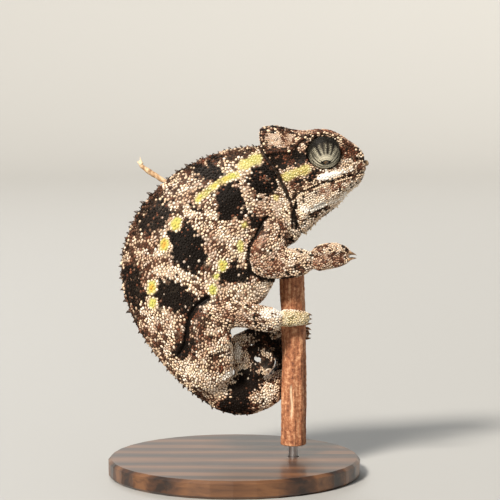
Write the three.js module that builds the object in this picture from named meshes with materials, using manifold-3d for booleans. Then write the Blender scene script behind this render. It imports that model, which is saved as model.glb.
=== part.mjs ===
// A high-casqued chameleon (Trioceros hoehnelii) clinging to the top of an upright stem, life size.
// Millimetres, +Z up. The animal faces +X and its right side faces -Y. The origin is the centre of
// the underside of the stand. "Near" names the right side of the animal and "far" its left side.

import * as THREE from 'three';
import { mergeVertices } from 'three/addons/utils/BufferGeometryUtils.js';
import Module from 'manifold-3d';

const wasm = await Module();
wasm.setup();

// ---- driving dimensions ----

const bodyPlaneY = -3; // the animal's plane of symmetry; it leans on the near side of the stem
const gap = 0.3; // between pieces that touch

const standCentreX = 0;
const baseRadius = 32;
const baseThickness = 4.5;
const baseChamfer = 0.7;
const rodRadius = 1.2;
const rodEngagement = 8; // how far the rod reaches into the stem
const rodSeat = 3; // how far it reaches into the base

const stemX = 15; // the stem stands this far in front of the stand's centre
const stemRadius = 3.3;
const stemBottomZ = 7.5;
const stemTopZ = 56.5;
const twigRadius = 0.65;

const crestPitch = 3; // between the spines along the back
const crestSpine = { radius: 0.6, height: 1 };
const beardPitch = 1.8; // between the spines under the throat
const beardSpine = { radius: 0.4, height: 1.2 };

const eyeRadius = 4.25; // of the scaly turret
const pupilRadius = 1.3; // of the eyeball that shows between the lids
const clawLength = 1.2;
const clawRadius = 0.42;
const clawSpread = 0.62; // of a bundle's half width
const clawSunk = 0.3; // how far the middle claw of a bundle starts inside it
const tipRound = 1.6; // how far the tip of a bundle is rounded back at its sides

// ---- materials ----

const finish = (color, roughness, metalness = 0) =>
  new THREE.MeshStandardMaterial({ color, roughness, metalness });
const finishes = {
  skin: () => finish(0x8a7358, 0.75),
  limb: () => finish(0xa8926f, 0.75),
  eye: () => finish(0x6f705c, 0.6),
  eyeball: () => finish(0x0c0a08, 0.08),
  horn: () => finish(0xe6d8bf, 0.5),
  claw: () => finish(0xcdbb98, 0.4),
  bark: () => finish(0x9c6244, 0.85),
  wood: () => finish(0x3a2a20, 0.5),
  steel: () => finish(0xb9babc, 0.35, 1),
};

// ---- helpers ----

const group = new THREE.Group();
const sideways = new THREE.Vector3(0, 1, 0);
const level = new THREE.Vector3(0, 0, 1);
const weldDistance = 1e-4; // corners closer than this are one
const sizeStep = 3; // spreads the sizes along a curve of their own, so that it has no loops

/** A geometry as a manifold solid. */
function solidOf(geometry) {
  const bare = geometry.clone();
  bare.deleteAttribute('normal');
  bare.deleteAttribute('uv');
  const merged = mergeVertices(bare, weldDistance);
  const mesh = new wasm.Mesh({
    numProp: 3,
    vertProperties: new Float32Array(merged.attributes.position.array),
    triVerts: new Uint32Array(merged.index.array),
  });
  return new wasm.Manifold(mesh);
}

/** Adds a solid to the model as a named mesh. */
function add(name, solid, material) {
  const { numProp, vertProperties, triVerts } = solid.getMesh();
  const corners = new Float32Array((vertProperties.length / numProp) * 3);
  for (let i = 0; i < corners.length / 3; i += 1) {
    corners.set(vertProperties.subarray(i * numProp, i * numProp + 3), i * 3);
  }
  const geometry = new THREE.BufferGeometry();
  geometry.setAttribute('position', new THREE.BufferAttribute(corners, 3));
  geometry.setIndex(new THREE.BufferAttribute(new Uint32Array(triVerts), 1));
  geometry.computeVertexNormals();
  const mesh = new THREE.Mesh(geometry, material);
  mesh.name = name;
  group.add(mesh);
}

/**
 * A closed shell of rings, each with its place along the form and its width from 0 to 1. The
 * function place(t, scale, angle, corner) gives the corners.
 */
function shell(rings, sides, place) {
  const geometry = new THREE.SphereGeometry(1, sides, rings.length - 1);
  const position = geometry.attributes.position;
  const corner = new THREE.Vector3();
  rings.forEach(({ t, scale }, ring) => {
    for (let side = 0; side <= sides; side += 1) {
      place(t, scale, ((side % sides) / sides) * Math.PI * 2, corner);
      position.setXYZ(ring * (sides + 1) + side, corner.x, corner.y, corner.z);
    }
  });
  return outward(geometry);
}

/** A closed geometry as a solid, turned inside out if its faces point inwards. */
function outward(geometry) {
  const solid = solidOf(geometry);
  return solid.volume() < 0 ? solidOf(turnedInsideOut(geometry)) : solid;
}

/** A copy of a geometry with its faces the other way round. */
function turnedInsideOut(geometry) {
  const turned = geometry.clone();
  const index = turned.index.array;
  for (let i = 0; i < index.length; i += 3) {
    [index[i], index[i + 1]] = [index[i + 1], index[i]];
  }
  return turned;
}

/** The rings of one end: a flat face, or a round cap over the given part of the length. */
function endRings(cap) {
  const capSteps = 2;
  if (!cap) return [{ t: 0, scale: 0 }];
  return Array.from({ length: capSteps }, (_, i) => {
    const angle = (i / capSteps) * (Math.PI / 2);
    return { t: cap * (1 - Math.cos(angle)), scale: Math.sin(angle) };
  });
}

/** The rings of a form with so many steps between its ends. */
function ringsAlong(steps, startCap = 0, endCap = 0) {
  const middle = Array.from({ length: steps + 1 }, (_, i) => {
    return { t: startCap + ((1 - startCap - endCap) * i) / steps, scale: 1 };
  });
  const end = endRings(endCap).reverse();
  return [...endRings(startCap), ...middle, ...end.map(({ t, scale }) => ({ t: 1 - t, scale }))];
}

const curveThrough = (points) => new THREE.CatmullRomCurve3(points, false, 'centripetal');

/**
 * A deep, narrow form, such as a trunk or a head, from upright sections. Each section has a point
 * on the upper outline, one on the lower outline, [x, z] each, and a half width. Its shape is an
 * ellipse to the power of its edge: above 1 it is keeled, below 1 it is full.
 */
function flankedForm(shape) {
  const { sections, steps, sides, startCap = 0, endCap = 0, upperEdge = 1, lowerEdge = 1, grow = 0 } = shape;
  const upper = curveThrough(sections.map(({ top: [x, z] }) => new THREE.Vector3(x, 0, z)));
  const lower = curveThrough(sections.map(({ low: [x, z] }) => new THREE.Vector3(x, 0, z)));
  const width = curveThrough(sections.map(({ half }, i) => new THREE.Vector3(i * sizeStep, half, 0)));
  const high = new THREE.Vector3();
  const deep = new THREE.Vector3();
  const wide = new THREE.Vector3();
  return shell(ringsAlong(steps, startCap, endCap), sides, (t, scale, angle, corner) => {
    upper.getPoint(t, high);
    lower.getPoint(t, deep);
    width.getPoint(t, wide);
    const middle = high.clone().add(deep).multiplyScalar(0.5);
    const reach = high.clone().sub(middle);
    reach.setLength((reach.length() + grow) * scale);
    const rise = Math.cos(angle);
    const edge = rise > 0 ? upperEdge : lowerEdge;
    const across = Math.sin(angle);
    const out = Math.sign(across) * Math.abs(across) ** edge * (wide.y + grow) * scale;
    corner.copy(middle).addScaledVector(reach, rise);
    corner.y = bodyPlaneY + out;
  });
}

/**
 * A limb or tail: an oval section carried along a curve. Each stop has its place, its half height
 * (in the plane of the bend) and its half width along the across direction.
 */
function limb(shape) {
  const { stops, steps, sides, across = sideways, from = 0, to = 1, grow = 0 } = shape;
  const { startCap = 0, endCap = 0 } = shape;
  const route = curveThrough(stops.map(({ at }) => new THREE.Vector3(...at)));
  const sizes = curveThrough(stops.map(({ high, wide }, i) => new THREE.Vector3(i * sizeStep, high, wide)));
  const centre = new THREE.Vector3();
  const size = new THREE.Vector3();
  return shell(ringsAlong(steps, startCap, endCap), sides, (along, scale, angle, corner) => {
    const t = from + (to - from) * along;
    route.getPoint(t, centre);
    sizes.getPoint(t, size);
    const ahead = route.getTangent(t);
    const side = across.clone().addScaledVector(ahead, -across.dot(ahead)).normalize();
    const up = ahead.cross(side);
    corner.copy(centre);
    corner.addScaledVector(up, Math.cos(angle) * (size.y + grow) * scale);
    corner.addScaledVector(side, Math.sin(angle) * (size.z + grow) * scale);
  });
}

/** A straight spine or claw from its root, pointing along a direction. */
function spike(root, direction, radius, height, sunk = 0.4, sides = 4) {
  const cone = new THREE.ConeGeometry(radius, height + sunk, sides);
  cone.translate(0, (height + sunk) / 2 - sunk, 0);
  cone.applyQuaternion(new THREE.Quaternion().setFromUnitVectors(sideways, direction.clone().normalize()));
  cone.translate(root.x, root.y, root.z);
  return solidOf(cone);
}

/** Everything on one side of a straight cut through [x, z], facing the direction [dx, dz]. */
function halfSpace([x, z], [dx, dz], offset = 0) {
  const size = 200;
  const block = new THREE.BoxGeometry(size, size, size);
  const facing = new THREE.Vector3(dx, 0, dz).normalize();
  const angle = Math.atan2(-facing.z, facing.x);
  block.translate(size / 2 + offset, 0, 0);
  block.rotateY(angle);
  block.translate(x, bodyPlaneY, z);
  return solidOf(block);
}

/** A solid without its neighbours, which are handed in already grown by the gap. */
const clearOf = (solid, ...neighbours) => neighbours.reduce((rest, other) => rest.subtract(other), solid);

// ---- trunk and neck ----

/** Sections from the back of the head to the root of the tail. */
const trunkSections = [
  { top: [8.5, 83.2], low: [17.2, 69.5], half: 4.6 },
  { top: [5.6, 83.6], low: [16.6, 64.6], half: 4.8 },
  { top: [1.2, 83.4], low: [17, 60.2], half: 5.2 },
  { top: [-5.4, 81.6], low: [12.4, 57], half: 6.2 },
  { top: [-11.8, 78.8], low: [11.2, 54.6], half: 6.8 },
  { top: [-18.1, 74.4], low: [11.2, 52.4], half: 7.3 },
  { top: [-25.2, 65.8], low: [12, 49.9], half: 7.8 },
  { top: [-28.6, 54.5], low: [9.8, 46.5], half: 8 },
  { top: [-27.8, 46.2], low: [6.2, 43.4], half: 7.8 },
  { top: [-24.7, 38.2], low: [1.6, 40.3], half: 7.1 },
  { top: [-19.8, 30.7], low: [-1.2, 36.4], half: 6.2 },
  { top: [-13.9, 23.9], low: [-2.3, 32], half: 5.4 },
  { top: [-7.6, 18.9], low: [-1.4, 28], half: 4.8 },
  { top: [-3.4, 16.8], low: [0.4, 26.2], half: 4.5 },
];
const trunkForm = (grow = 0) =>
  flankedForm({ sections: trunkSections, steps: 23, sides: 14, upperEdge: 1.25, lowerEdge: 0.95, grow });

/** Points every pitch along an outline [x, z], with the direction in which a spine stands there. */
function crestPlaces(points, from, to, pitch) {
  const outline = curveThrough(points.map(([x, z]) => new THREE.Vector3(x, bodyPlaneY, z)));
  const steps = 400;
  const places = [];
  let walked = pitch;
  let last = outline.getPoint(from);
  for (let step = 0; step <= steps; step += 1) {
    const t = from + ((to - from) * step) / steps;
    const here = outline.getPoint(t);
    walked += here.distanceTo(last);
    last = here;
    if (walked >= pitch) {
      const ahead = outline.getTangent(t);
      const out = new THREE.Vector3(ahead.z, 0, -ahead.x);
      places.push({ at: here, out, ahead });
      walked = 0;
    }
  }
  return places;
}

/** Joins a row of spines, which lean towards the tail, to a solid. */
function withCrest(solid, places, { radius, height }, lean = 0.35) {
  return places.reduce((body, { at, out, ahead }) => {
    const direction = out.clone().addScaledVector(ahead, lean);
    return body.add(spike(at, direction, radius, height));
  }, solid);
}

// ---- head ----

/** Sections from the back of the casque to the snout; the lower outline runs down to the throat. */
const headSections = [
  { top: [5.5, 87.8], low: [7.6, 79], half: 2.2 },
  { top: [7.8, 88.7], low: [11.4, 72], half: 4.3 },
  { top: [11.2, 88.8], low: [14.6, 66.4], half: 5.6 },
  { top: [14.4, 87.9], low: [17.2, 61], half: 6.1 },
  { top: [17.6, 87.6], low: [20.6, 64.2], half: 6.3 },
  { top: [21.4, 88], low: [23.8, 66.6], half: 6.1 },
  { top: [25, 87.4], low: [26.6, 68.9], half: 5.3 },
  { top: [28.6, 85.2], low: [29, 71.9], half: 4.2 },
  { top: [31.8, 82.7], low: [31.4, 73.7], half: 3.1 },
  { top: [33.5, 79.6], low: [33.2, 76], half: 2 },
];
const headForm = (grow = 0) =>
  flankedForm({
    sections: headSections,
    steps: 14,
    sides: 14,
    startCap: 0.04,
    endCap: 0.1,
    upperEdge: 0.9,
    lowerEdge: 0.95,
    grow,
  });

/** The line between the jaws, from behind the head to in front of the snout. */
const mouthLine = [
  [4, 66.2],
  [13.5, 69.2],
  [15.8, 71.8],
  [21.5, 74.2],
  [26.5, 75.7],
  [33.2, 77.2],
  [38, 78],
];

/** Everything above the mouth line. */
function aboveMouth(offset) {
  const skyZ = 120;
  const outline = new THREE.Shape();
  mouthLine.forEach(([x, z], i) => (i ? outline.lineTo(x, z + offset) : outline.moveTo(x, z + offset)));
  outline.lineTo(mouthLine.at(-1)[0], skyZ);
  outline.lineTo(mouthLine[0][0], skyZ);
  const width = 60;
  const prism = new THREE.ExtrudeGeometry(outline, { depth: width, bevelEnabled: false });
  prism.rotateX(Math.PI / 2);
  prism.translate(0, width / 2, 0);
  return solidOf(prism);
}

// ---- eyes and rostral knob ----

/** Looking slightly down and ahead; side is -1 for the near eye and 1 for the far one. */
const gaze = (side) => new THREE.Vector3(0.1, side * 0.82, -0.56).normalize();
const turretCentre = (side) => new THREE.Vector3(22.3, bodyPlaneY + side * 3.9, 82);
const eyeballDepth = 2.95; // from the middle of the turret to the middle of the eyeball

/** An ellipsoid. */
function ball(centre, radius, scale = [1, 1, 1], sides = 14, rings = 9) {
  const sphere = new THREE.SphereGeometry(radius, sides, rings);
  sphere.scale(...scale);
  sphere.translate(centre.x, centre.y, centre.z);
  return solidOf(sphere);
}

const turretForm = (side, grow = 0) => ball(turretCentre(side), eyeRadius + grow);
const eyeballCentre = (side) => turretCentre(side).addScaledVector(gaze(side), eyeballDepth);

const knob = { centre: new THREE.Vector3(33.3, bodyPlaneY, 79.2), radius: 1, scale: [1, 0.9, 1] };
const knobForm = (grow = 0) => ball(knob.centre, knob.radius + grow, knob.scale, 10, 6);

// ---- stem, twig and stand ----

const stemForm = (grow = 0) =>
  limb({
    stops: [
      { at: [stemX, 0, stemBottomZ], high: stemRadius, wide: stemRadius },
      { at: [stemX + 0.1, 0, 24], high: stemRadius - 0.05, wide: stemRadius },
      { at: [stemX + 0.2, 0, 34], high: stemRadius - 0.1, wide: stemRadius },
      { at: [stemX - 0.4, 0, 48], high: stemRadius, wide: stemRadius },
      { at: [stemX - 0.7, 0, stemTopZ], high: stemRadius, wide: stemRadius },
    ],
    steps: 5,
    sides: 16,
    grow,
  });

const twigForm = (grow = 0) =>
  limb({
    stops: [
      { at: [14.4, 0.3, 55.4], high: 1, wide: 1 },
      { at: [11, 1.5, 57.2], high: 0.8, wide: 0.8 },
      { at: [-3, 5.6, 64.9], high: twigRadius, wide: twigRadius },
      { at: [-17, 9.6, 73.4], high: twigRadius, wide: twigRadius },
      { at: [-23.2, 11.4, 77.3], high: twigRadius * 1.15, wide: twigRadius * 1.15 },
      { at: [-25, 11.9, 78.6], high: twigRadius * 0.8, wide: twigRadius * 0.8 },
    ],
    steps: 8,
    sides: 7,
    grow,
  });

/** An upright cylinder. */
const upright = (radius, fromZ, toZ, x) => {
  const cylinder = new THREE.CylinderGeometry(radius, radius, toZ - fromZ, 16);
  cylinder.rotateX(Math.PI / 2);
  cylinder.translate(x, 0, (fromZ + toZ) / 2);
  return solidOf(cylinder);
};
const rodForm = (grow = 0) =>
  upright(rodRadius + grow, baseThickness - rodSeat - grow, stemBottomZ + rodEngagement + grow, stemX);

/** The stand's disc, with both its edges chamfered. */
function baseForm() {
  const profile = [
    [0, 0],
    [baseRadius - baseChamfer, 0],
    [baseRadius, baseChamfer],
    [baseRadius, baseThickness - baseChamfer],
    [baseRadius - baseChamfer, baseThickness],
    [0, baseThickness],
  ].map(([radius, height]) => new THREE.Vector2(radius, height));
  const disc = new THREE.LatheGeometry(profile, 36);
  disc.rotateX(Math.PI / 2);
  disc.translate(standCentreX, 0, 0);
  return outward(disc);
}

// ---- tail ----

/** The tail runs under the hips, behind the stem and back over itself into a flat coil. */
const tailStops = [
  { at: [-4.75, -3, 22.6], high: 4.9, wide: 4.4 },
  { at: [-0.5, -2.8, 20.3], high: 4.7, wide: 4.1 },
  { at: [4, -1.8, 19.8], high: 4.4, wide: 3.7 },
  { at: [8.8, 0.9, 21], high: 4, wide: 3.3 },
  { at: [12.5, 5.3, 24.2], high: 3.5, wide: 3 },
  { at: [13.5, 7.2, 28.25], high: 3, wide: 2.7 },
  { at: [11.25, 6.6, 31.8], high: 2.7, wide: 2.4 },
  { at: [7, 3.7, 34.2], high: 2.45, wide: 2.1 },
  { at: [2.8, 0.3, 35.6], high: 2.6, wide: 2 },
  { at: [0.75, -1.4, 31.7], high: 2.4, wide: 1.9 },
  { at: [1.5, -2, 27.6], high: 2.15, wide: 1.8 },
  { at: [4.6, -2, 25.9], high: 1.6, wide: 1.5 },
  { at: [8, -1.8, 26.7], high: 1.3, wide: 1.3 },
  { at: [9.5, -1.7, 29.5], high: 1.1, wide: 1.1 },
  { at: [8.2, -1.7, 32.2], high: 1, wide: 1 },
  { at: [5.3, -1.7, 32.6], high: 0.9, wide: 0.9 },
  { at: [4.1, -1.7, 30.4], high: 0.78, wide: 0.78 },
  { at: [5.1, -1.7, 28.5], high: 0.74, wide: 0.74 },
  { at: [7, -1.7, 28.5], high: 0.7, wide: 0.7 },
  { at: [7.6, -1.7, 29.9], high: 0.66, wide: 0.66 },
  { at: [6.6, -1.7, 30.9], high: 0.6, wide: 0.6 },
  { at: [5.9, -1.7, 30.2], high: 0.45, wide: 0.45 },
];
/** Where the five lengths of the tail meet, as fractions of its stops. */
const tailJoints = [0, 0.13, 0.25, 0.36, 0.52, 1];
const tailSteps = [4, 4, 4, 4, 20];
const tailSides = [14, 12, 12, 10, 8];
const tailCut = 0.0016; // half of the parting between two lengths, as a fraction of the tail
const tailPiece = (i, grow = 0) =>
  limb({
    stops: tailStops,
    from: tailJoints[i] + (i ? tailCut : 0),
    to: tailJoints[i + 1] - (i < 4 ? tailCut : 0),
    steps: tailSteps[i],
    sides: tailSides[i],
    endCap: i === 4 ? 0.03 : 0,
    grow,
  });

// ---- legs ----

const nearArm = {
  upper: [
    { at: [13, -5.2, 66], high: 2.6, wide: 2.2 },
    { at: [9.6, -7.2, 62], high: 4.2, wide: 2.9 },
    { at: [7.8, -8.2, 57.6], high: 4.6, wide: 3.1 },
    { at: [7.8, -8.4, 54], high: 3.6, wide: 2.5 },
  ],
  lower: [
    { at: [3.6, -8.4, 54.6], high: 3.7, wide: 2.8 },
    { at: [9, -8.4, 54.3], high: 3.9, wide: 2.9 },
    { at: [14.4, -8.1, 54.6], high: 3.9, wide: 2.7 },
    { at: [19.9, -7.4, 55.3], high: 3.2, wide: 2.2 },
  ],
};
const farArm = {
  upper: [
    { at: [13, -0.8, 65.8], high: 2.6, wide: 2.2 },
    { at: [10.4, 3.2, 63], high: 3.6, wide: 2.8 },
    { at: [7.4, 7.4, 60.2], high: 3.7, wide: 2.9 },
    { at: [5, 10, 57.4], high: 3.3, wide: 2.7 },
  ],
  lower: [
    { at: [4, 9.8, 58], high: 3, wide: 2.7 },
    { at: [7.4, 9.4, 56.4], high: 3.1, wide: 2.6 },
    { at: [10.6, 8.2, 54.9], high: 2.9, wide: 2.4 },
    { at: [13.4, 6.6, 54.1], high: 2.5, wide: 2 },
  ],
};
const nearLeg = {
  upper: [
    { at: [-4.7, -5.7, 21.8], high: 4.7, wide: 2.9 },
    { at: [-6, -7.4, 26.4], high: 6.3, wide: 3.6 },
    { at: [-6.1, -8.4, 33.4], high: 6.1, wide: 3.6 },
    { at: [-6.4, -9, 38.6], high: 5.6, wide: 3.2 },
    { at: [-6.4, -9.2, 45], high: 4, wide: 2.6 },
  ],
  lower: [
    { at: [-9.4, -9.4, 42.2], high: 3.6, wide: 2.6 },
    { at: [-3, -9.4, 42.1], high: 3.7, wide: 2.7 },
    { at: [3, -8.6, 41.6], high: 3.3, wide: 2.4 },
    { at: [7.4, -7.5, 40.6], high: 3.5, wide: 2.3 },
    { at: [12, -6.5, 40], high: 3.2, wide: 2 },
  ],
};
const farLeg = {
  upper: [
    { at: [-5, -0.4, 22.2], high: 3.8, wide: 2.8 },
    { at: [-6.1, 1.4, 26.8], high: 5.4, wide: 3.5 },
    { at: [-6.4, 2.4, 33.4], high: 5.2, wide: 3.5 },
    { at: [-6.6, 3, 38.6], high: 4.7, wide: 3.1 },
    { at: [-6.2, 3.2, 43.2], high: 3.4, wide: 2.5 },
  ],
  lower: [
    { at: [-7, 3.4, 42.6], high: 3, wide: 2.5 },
    { at: [-1.5, 4, 42.8], high: 2.7, wide: 2.4 },
    { at: [3, 4.8, 41.4], high: 2.6, wide: 2.2 },
    { at: [7.6, 5.8, 39], high: 2.6, wide: 2 },
    { at: [12, 6.4, 36.6], high: 2.3, wide: 1.8 },
  ],
};

/** Each foot is two bundles of toes. A gripping bundle bends in a level plane, round the stem. */
const feet = {
  near_fore: {
    inner: {
      toes: 3,
      across: sideways,
      stops: [
        { at: [19.8, -7.3, 56.9], high: 1.5, wide: 1.9 },
        { at: [22.6, -7.2, 57.8], high: 1.75, wide: 2.1 },
        { at: [26.2, -7.1, 57.9], high: 1.65, wide: 1.9 },
        { at: [29.4, -7.1, 56.8], high: 0.8, wide: 1.2 },
      ],
    },
    outer: {
      toes: 2,
      across: sideways,
      stops: [
        { at: [19.8, -7.5, 53.9], high: 1.7, wide: 1.9 },
        { at: [22.8, -7.5, 54.5], high: 1.75, wide: 2 },
        { at: [26.2, -7.3, 54.9], high: 1.45, wide: 1.7 },
        { at: [29.3, -7.2, 55.5], high: 0.6, wide: 1.1 },
      ],
    },
  },
  far_fore: {
    inner: {
      toes: 3,
      across: level,
      stops: [
        { at: [13.4, 5.5, 54], high: 1.3, wide: 1.7 },
        { at: [16.8, 4.6, 54], high: 1.2, wide: 1.7 },
        { at: [19, 2, 53.9], high: 1.1, wide: 1.6 },
        { at: [19.2, -0.6, 53.8], high: 0.8, wide: 1.4 },
      ],
    },
    outer: {
      toes: 2,
      across: level,
      stops: [
        { at: [13.2, 5.1, 54], high: 1.3, wide: 1.6 },
        { at: [11.2, 3.6, 54], high: 1.2, wide: 1.5 },
        { at: [10.4, 1.6, 54], high: 0.9, wide: 1.3 },
      ],
    },
  },
  near_hind: {
    inner: {
      toes: 2,
      across: level,
      stops: [
        { at: [10.9, -5, 38.6], high: 1.4, wide: 1.8 },
        { at: [10.1, -2.9, 38.2], high: 1.3, wide: 1.7 },
        { at: [10.3, -0.4, 37.8], high: 1.1, wide: 1.5 },
        { at: [11.4, 1.6, 37.6], high: 0.8, wide: 1.2 },
      ],
    },
    outer: {
      toes: 3,
      across: level,
      stops: [
        { at: [11.5, -5.9, 40.6], high: 1.6, wide: 2.5 },
        { at: [14.8, -5.3, 40.6], high: 1.5, wide: 2.3 },
        { at: [17.4, -4.3, 40.4], high: 1.2, wide: 2 },
        { at: [18.9, -2.6, 40], high: 0.8, wide: 1.6 },
      ],
    },
  },
  far_hind: {
    inner: {
      toes: 2,
      across: level,
      stops: [
        { at: [12.6, 5, 36.1], high: 1.3, wide: 1.7 },
        { at: [10.9, 3.4, 36], high: 1.2, wide: 1.5 },
        { at: [10.4, 1.8, 35.9], high: 0.9, wide: 1.2 },
      ],
    },
    outer: {
      toes: 3,
      across: level,
      stops: [
        { at: [12.8, 5.4, 36], high: 1.4, wide: 1.9 },
        { at: [15.4, 5.1, 35.9], high: 1.3, wide: 1.9 },
        { at: [17.7, 3.9, 35.8], high: 1.1, wide: 1.8 },
        { at: [18.9, 2, 35.7], high: 0.9, wide: 1.6 },
      ],
    },
  },
};

/** A part of a leg, rounded at both ends. */
const segment = (stops, grow = 0) =>
  limb({ stops, steps: 5, sides: 10, startCap: 0.2, endCap: 0.14, grow });
const bundleForm = ({ stops, across }, grow = 0) =>
  limb({ stops, across, steps: 4, sides: 9, startCap: 0.08, endCap: 0.2, grow });

/** One claw on each toe of a bundle, spread over its width and set back where its tip is rounded. */
function clawForms({ stops, across, toes }) {
  const tip = new THREE.Vector3(...stops.at(-1).at);
  const ahead = tip.clone().sub(new THREE.Vector3(...stops.at(-2).at)).normalize();
  return Array.from({ length: toes }, (_, i) => {
    const offset = clawSpread * ((2 * i) / (toes - 1) - 1);
    const setBack = clawSunk + tipRound * (1 - Math.sqrt(1 - offset * offset));
    const root = tip.clone().addScaledVector(ahead, -setBack);
    root.addScaledVector(across, offset * stops.at(-1).wide);
    return spike(root, ahead, clawRadius, clawLength + setBack, 0);
  });
}

// ---- assembly ----

const sides = { near: -1, far: 1 };

const rodGrown = rodForm(gap);
const stemGrown = stemForm(gap);
const perchGrown = stemGrown.add(twigForm(gap));
add('stand_base', baseForm().subtract(rodGrown), finishes.wood());
add('stand_rod', rodForm(), finishes.steel());
add('perch_stem', stemForm().subtract(rodGrown), finishes.bark());
add('perch_twig', twigForm().subtract(stemGrown), finishes.bark());

// The neck and trunk are one form, which a thin cut parts above the shoulder.
const neckCut = { at: [7.6, 71.4], facing: [24, 14] };
const hipCut = { at: [-3.6, 22.4], facing: [9, -4.6] };
const crest = crestPlaces(trunkSections.map(({ top }) => top), 0.05, 0.97, crestPitch);
const torso = clearOf(withCrest(trunkForm(), crest, crestSpine), perchGrown);
const forward = halfSpace(neckCut.at, neckCut.facing, gap / 2);
const notBehind = halfSpace(neckCut.at, neckCut.facing, -gap / 2);
add('neck', clearOf(torso.intersect(forward), headForm(gap)), finishes.skin());
add('trunk', clearOf(torso, notBehind, halfSpace(hipCut.at, hipCut.facing, -gap / 2)), finishes.skin());
const torsoGrown = trunkForm(gap);

// The head is parted along the mouth, and has a socket for each eye and a seat for the knob.
const turretsGrown = turretForm(-1, gap).add(turretForm(1, gap));
const skull = clearOf(headForm(), turretsGrown, knobForm(gap));
const beard = crestPlaces(headSections.map(({ low }) => low), 0.36, 0.93, beardPitch);
const throatSpines = beard.map(({ at, out, ahead }) => ({ at, out: out.negate(), ahead }));
const jaw = skull.subtract(aboveMouth(-gap / 2));
add('head', skull.intersect(aboveMouth(gap / 2)), finishes.skin());
add('lower_jaw', withCrest(jaw, throatSpines, beardSpine, 0), finishes.skin());
add('rostral_knob', knobForm(), finishes.horn());
Object.entries(sides).forEach(([name, side]) => {
  const eyeball = ball(eyeballCentre(side), pupilRadius, [1, 1, 1], 10, 7);
  const socket = ball(eyeballCentre(side), pupilRadius + gap, [1, 1, 1], 10, 7);
  const middle = new THREE.BoxGeometry(40, 2, 40);
  middle.translate(turretCentre(side).x, bodyPlaneY, turretCentre(side).z);
  add(`eye_turret_${name}`, clearOf(turretForm(side), solidOf(middle), socket), finishes.eye());
  add(`eyeball_${name}`, eyeball, finishes.eyeball());
});

// The tail starts at the hip cut, and each length keeps clear of the ones before it.
const hipSide = halfSpace(hipCut.at, hipCut.facing, gap / 2);
let earlierTail = perchGrown;
tailSteps.forEach((_, i) => {
  const length = clearOf(tailPiece(i), earlierTail);
  add(`tail_${i + 1}`, i ? length : length.intersect(hipSide), finishes.skin());
  earlierTail = earlierTail.add(tailPiece(i, gap));
});

// Each leg is an upper part against the trunk, a lower part and a foot of two bundles with claws.
const legs = { near_fore: nearArm, far_fore: farArm, near_hind: nearLeg, far_hind: farLeg };
const trunkAndTail = torsoGrown.add(tailPiece(0, gap)).add(perchGrown);
Object.entries(legs).forEach(([name, { upper, lower }]) => {
  const { inner, outer } = feet[name];
  const innerGrown = bundleForm(inner, gap);
  const outerGrown = bundleForm(outer, gap);
  add(`${name}_upper`, clearOf(segment(upper), trunkAndTail, segment(lower, gap)), finishes.limb());
  add(`${name}_lower`, clearOf(segment(lower), trunkAndTail, innerGrown, outerGrown), finishes.limb());
  add(`${name}_inner_toes`, clearOf(bundleForm(inner), trunkAndTail, outerGrown), finishes.limb());
  add(`${name}_outer_toes`, clearOf(bundleForm(outer), trunkAndTail), finishes.limb());
  [inner, outer].flatMap(clawForms).forEach((claw, i) => {
    add(`${name}_claw_${i + 1}`, clearOf(claw, innerGrown, outerGrown, perchGrown), finishes.claw());
  });
});

export default group;
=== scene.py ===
"""Looks of a chameleon that grips a cut stem on a display stand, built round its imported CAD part.

Lengths are in millimetres; a mesh turns to metres where it is handed in.
The near side of the animal faces -Y, and its middle plane stands at the head's own middle.
"""

import logging
import math
from collections import defaultdict
from dataclasses import astuple, dataclass
from enum import Enum

import bmesh
import bpy
import numpy as np
from bmesh.types import BMEdge, BMesh, BMVert
from bpy.types import ID, Material, Mesh, Node, NodeSocket, NodeTree, Object
from mathutils import Matrix, Vector
from mathutils.bvhtree import BVHTree


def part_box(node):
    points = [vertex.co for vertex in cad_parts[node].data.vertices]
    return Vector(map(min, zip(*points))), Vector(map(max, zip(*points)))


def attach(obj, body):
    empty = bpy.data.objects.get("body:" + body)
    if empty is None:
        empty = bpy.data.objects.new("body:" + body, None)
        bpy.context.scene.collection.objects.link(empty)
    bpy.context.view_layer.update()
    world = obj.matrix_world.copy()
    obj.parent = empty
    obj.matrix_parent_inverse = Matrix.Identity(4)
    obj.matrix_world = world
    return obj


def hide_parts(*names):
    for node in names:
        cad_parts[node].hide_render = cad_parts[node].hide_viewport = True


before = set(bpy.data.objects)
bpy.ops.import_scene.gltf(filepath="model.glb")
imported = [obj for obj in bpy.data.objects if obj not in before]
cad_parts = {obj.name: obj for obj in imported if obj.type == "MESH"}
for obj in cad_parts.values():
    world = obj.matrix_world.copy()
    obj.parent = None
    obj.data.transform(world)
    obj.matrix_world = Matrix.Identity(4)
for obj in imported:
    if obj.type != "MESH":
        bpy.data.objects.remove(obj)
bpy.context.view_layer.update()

MM = 0.001
SEED = 7
LOG = logging.getLogger("chameleon")

Array = np.ndarray
Colour = tuple[float, float, float, float]
Shares = dict[str, Array]


# ---------- colours, nodes and hand-in


def linear(code: str) -> Colour:
    """Turns an sRGB hex colour into the linear one that a shader takes.

    Args:
        code: The colour as "#rrggbb".

    Returns:
        Red, green, blue and alpha.
    """
    parts = (int(code[i : i + 2], 16) / 255 for i in (1, 3, 5))
    return (*(c / 12.92 if c <= 0.04045 else ((c + 0.055) / 1.055) ** 2.4 for c in parts), 1.0)


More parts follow.
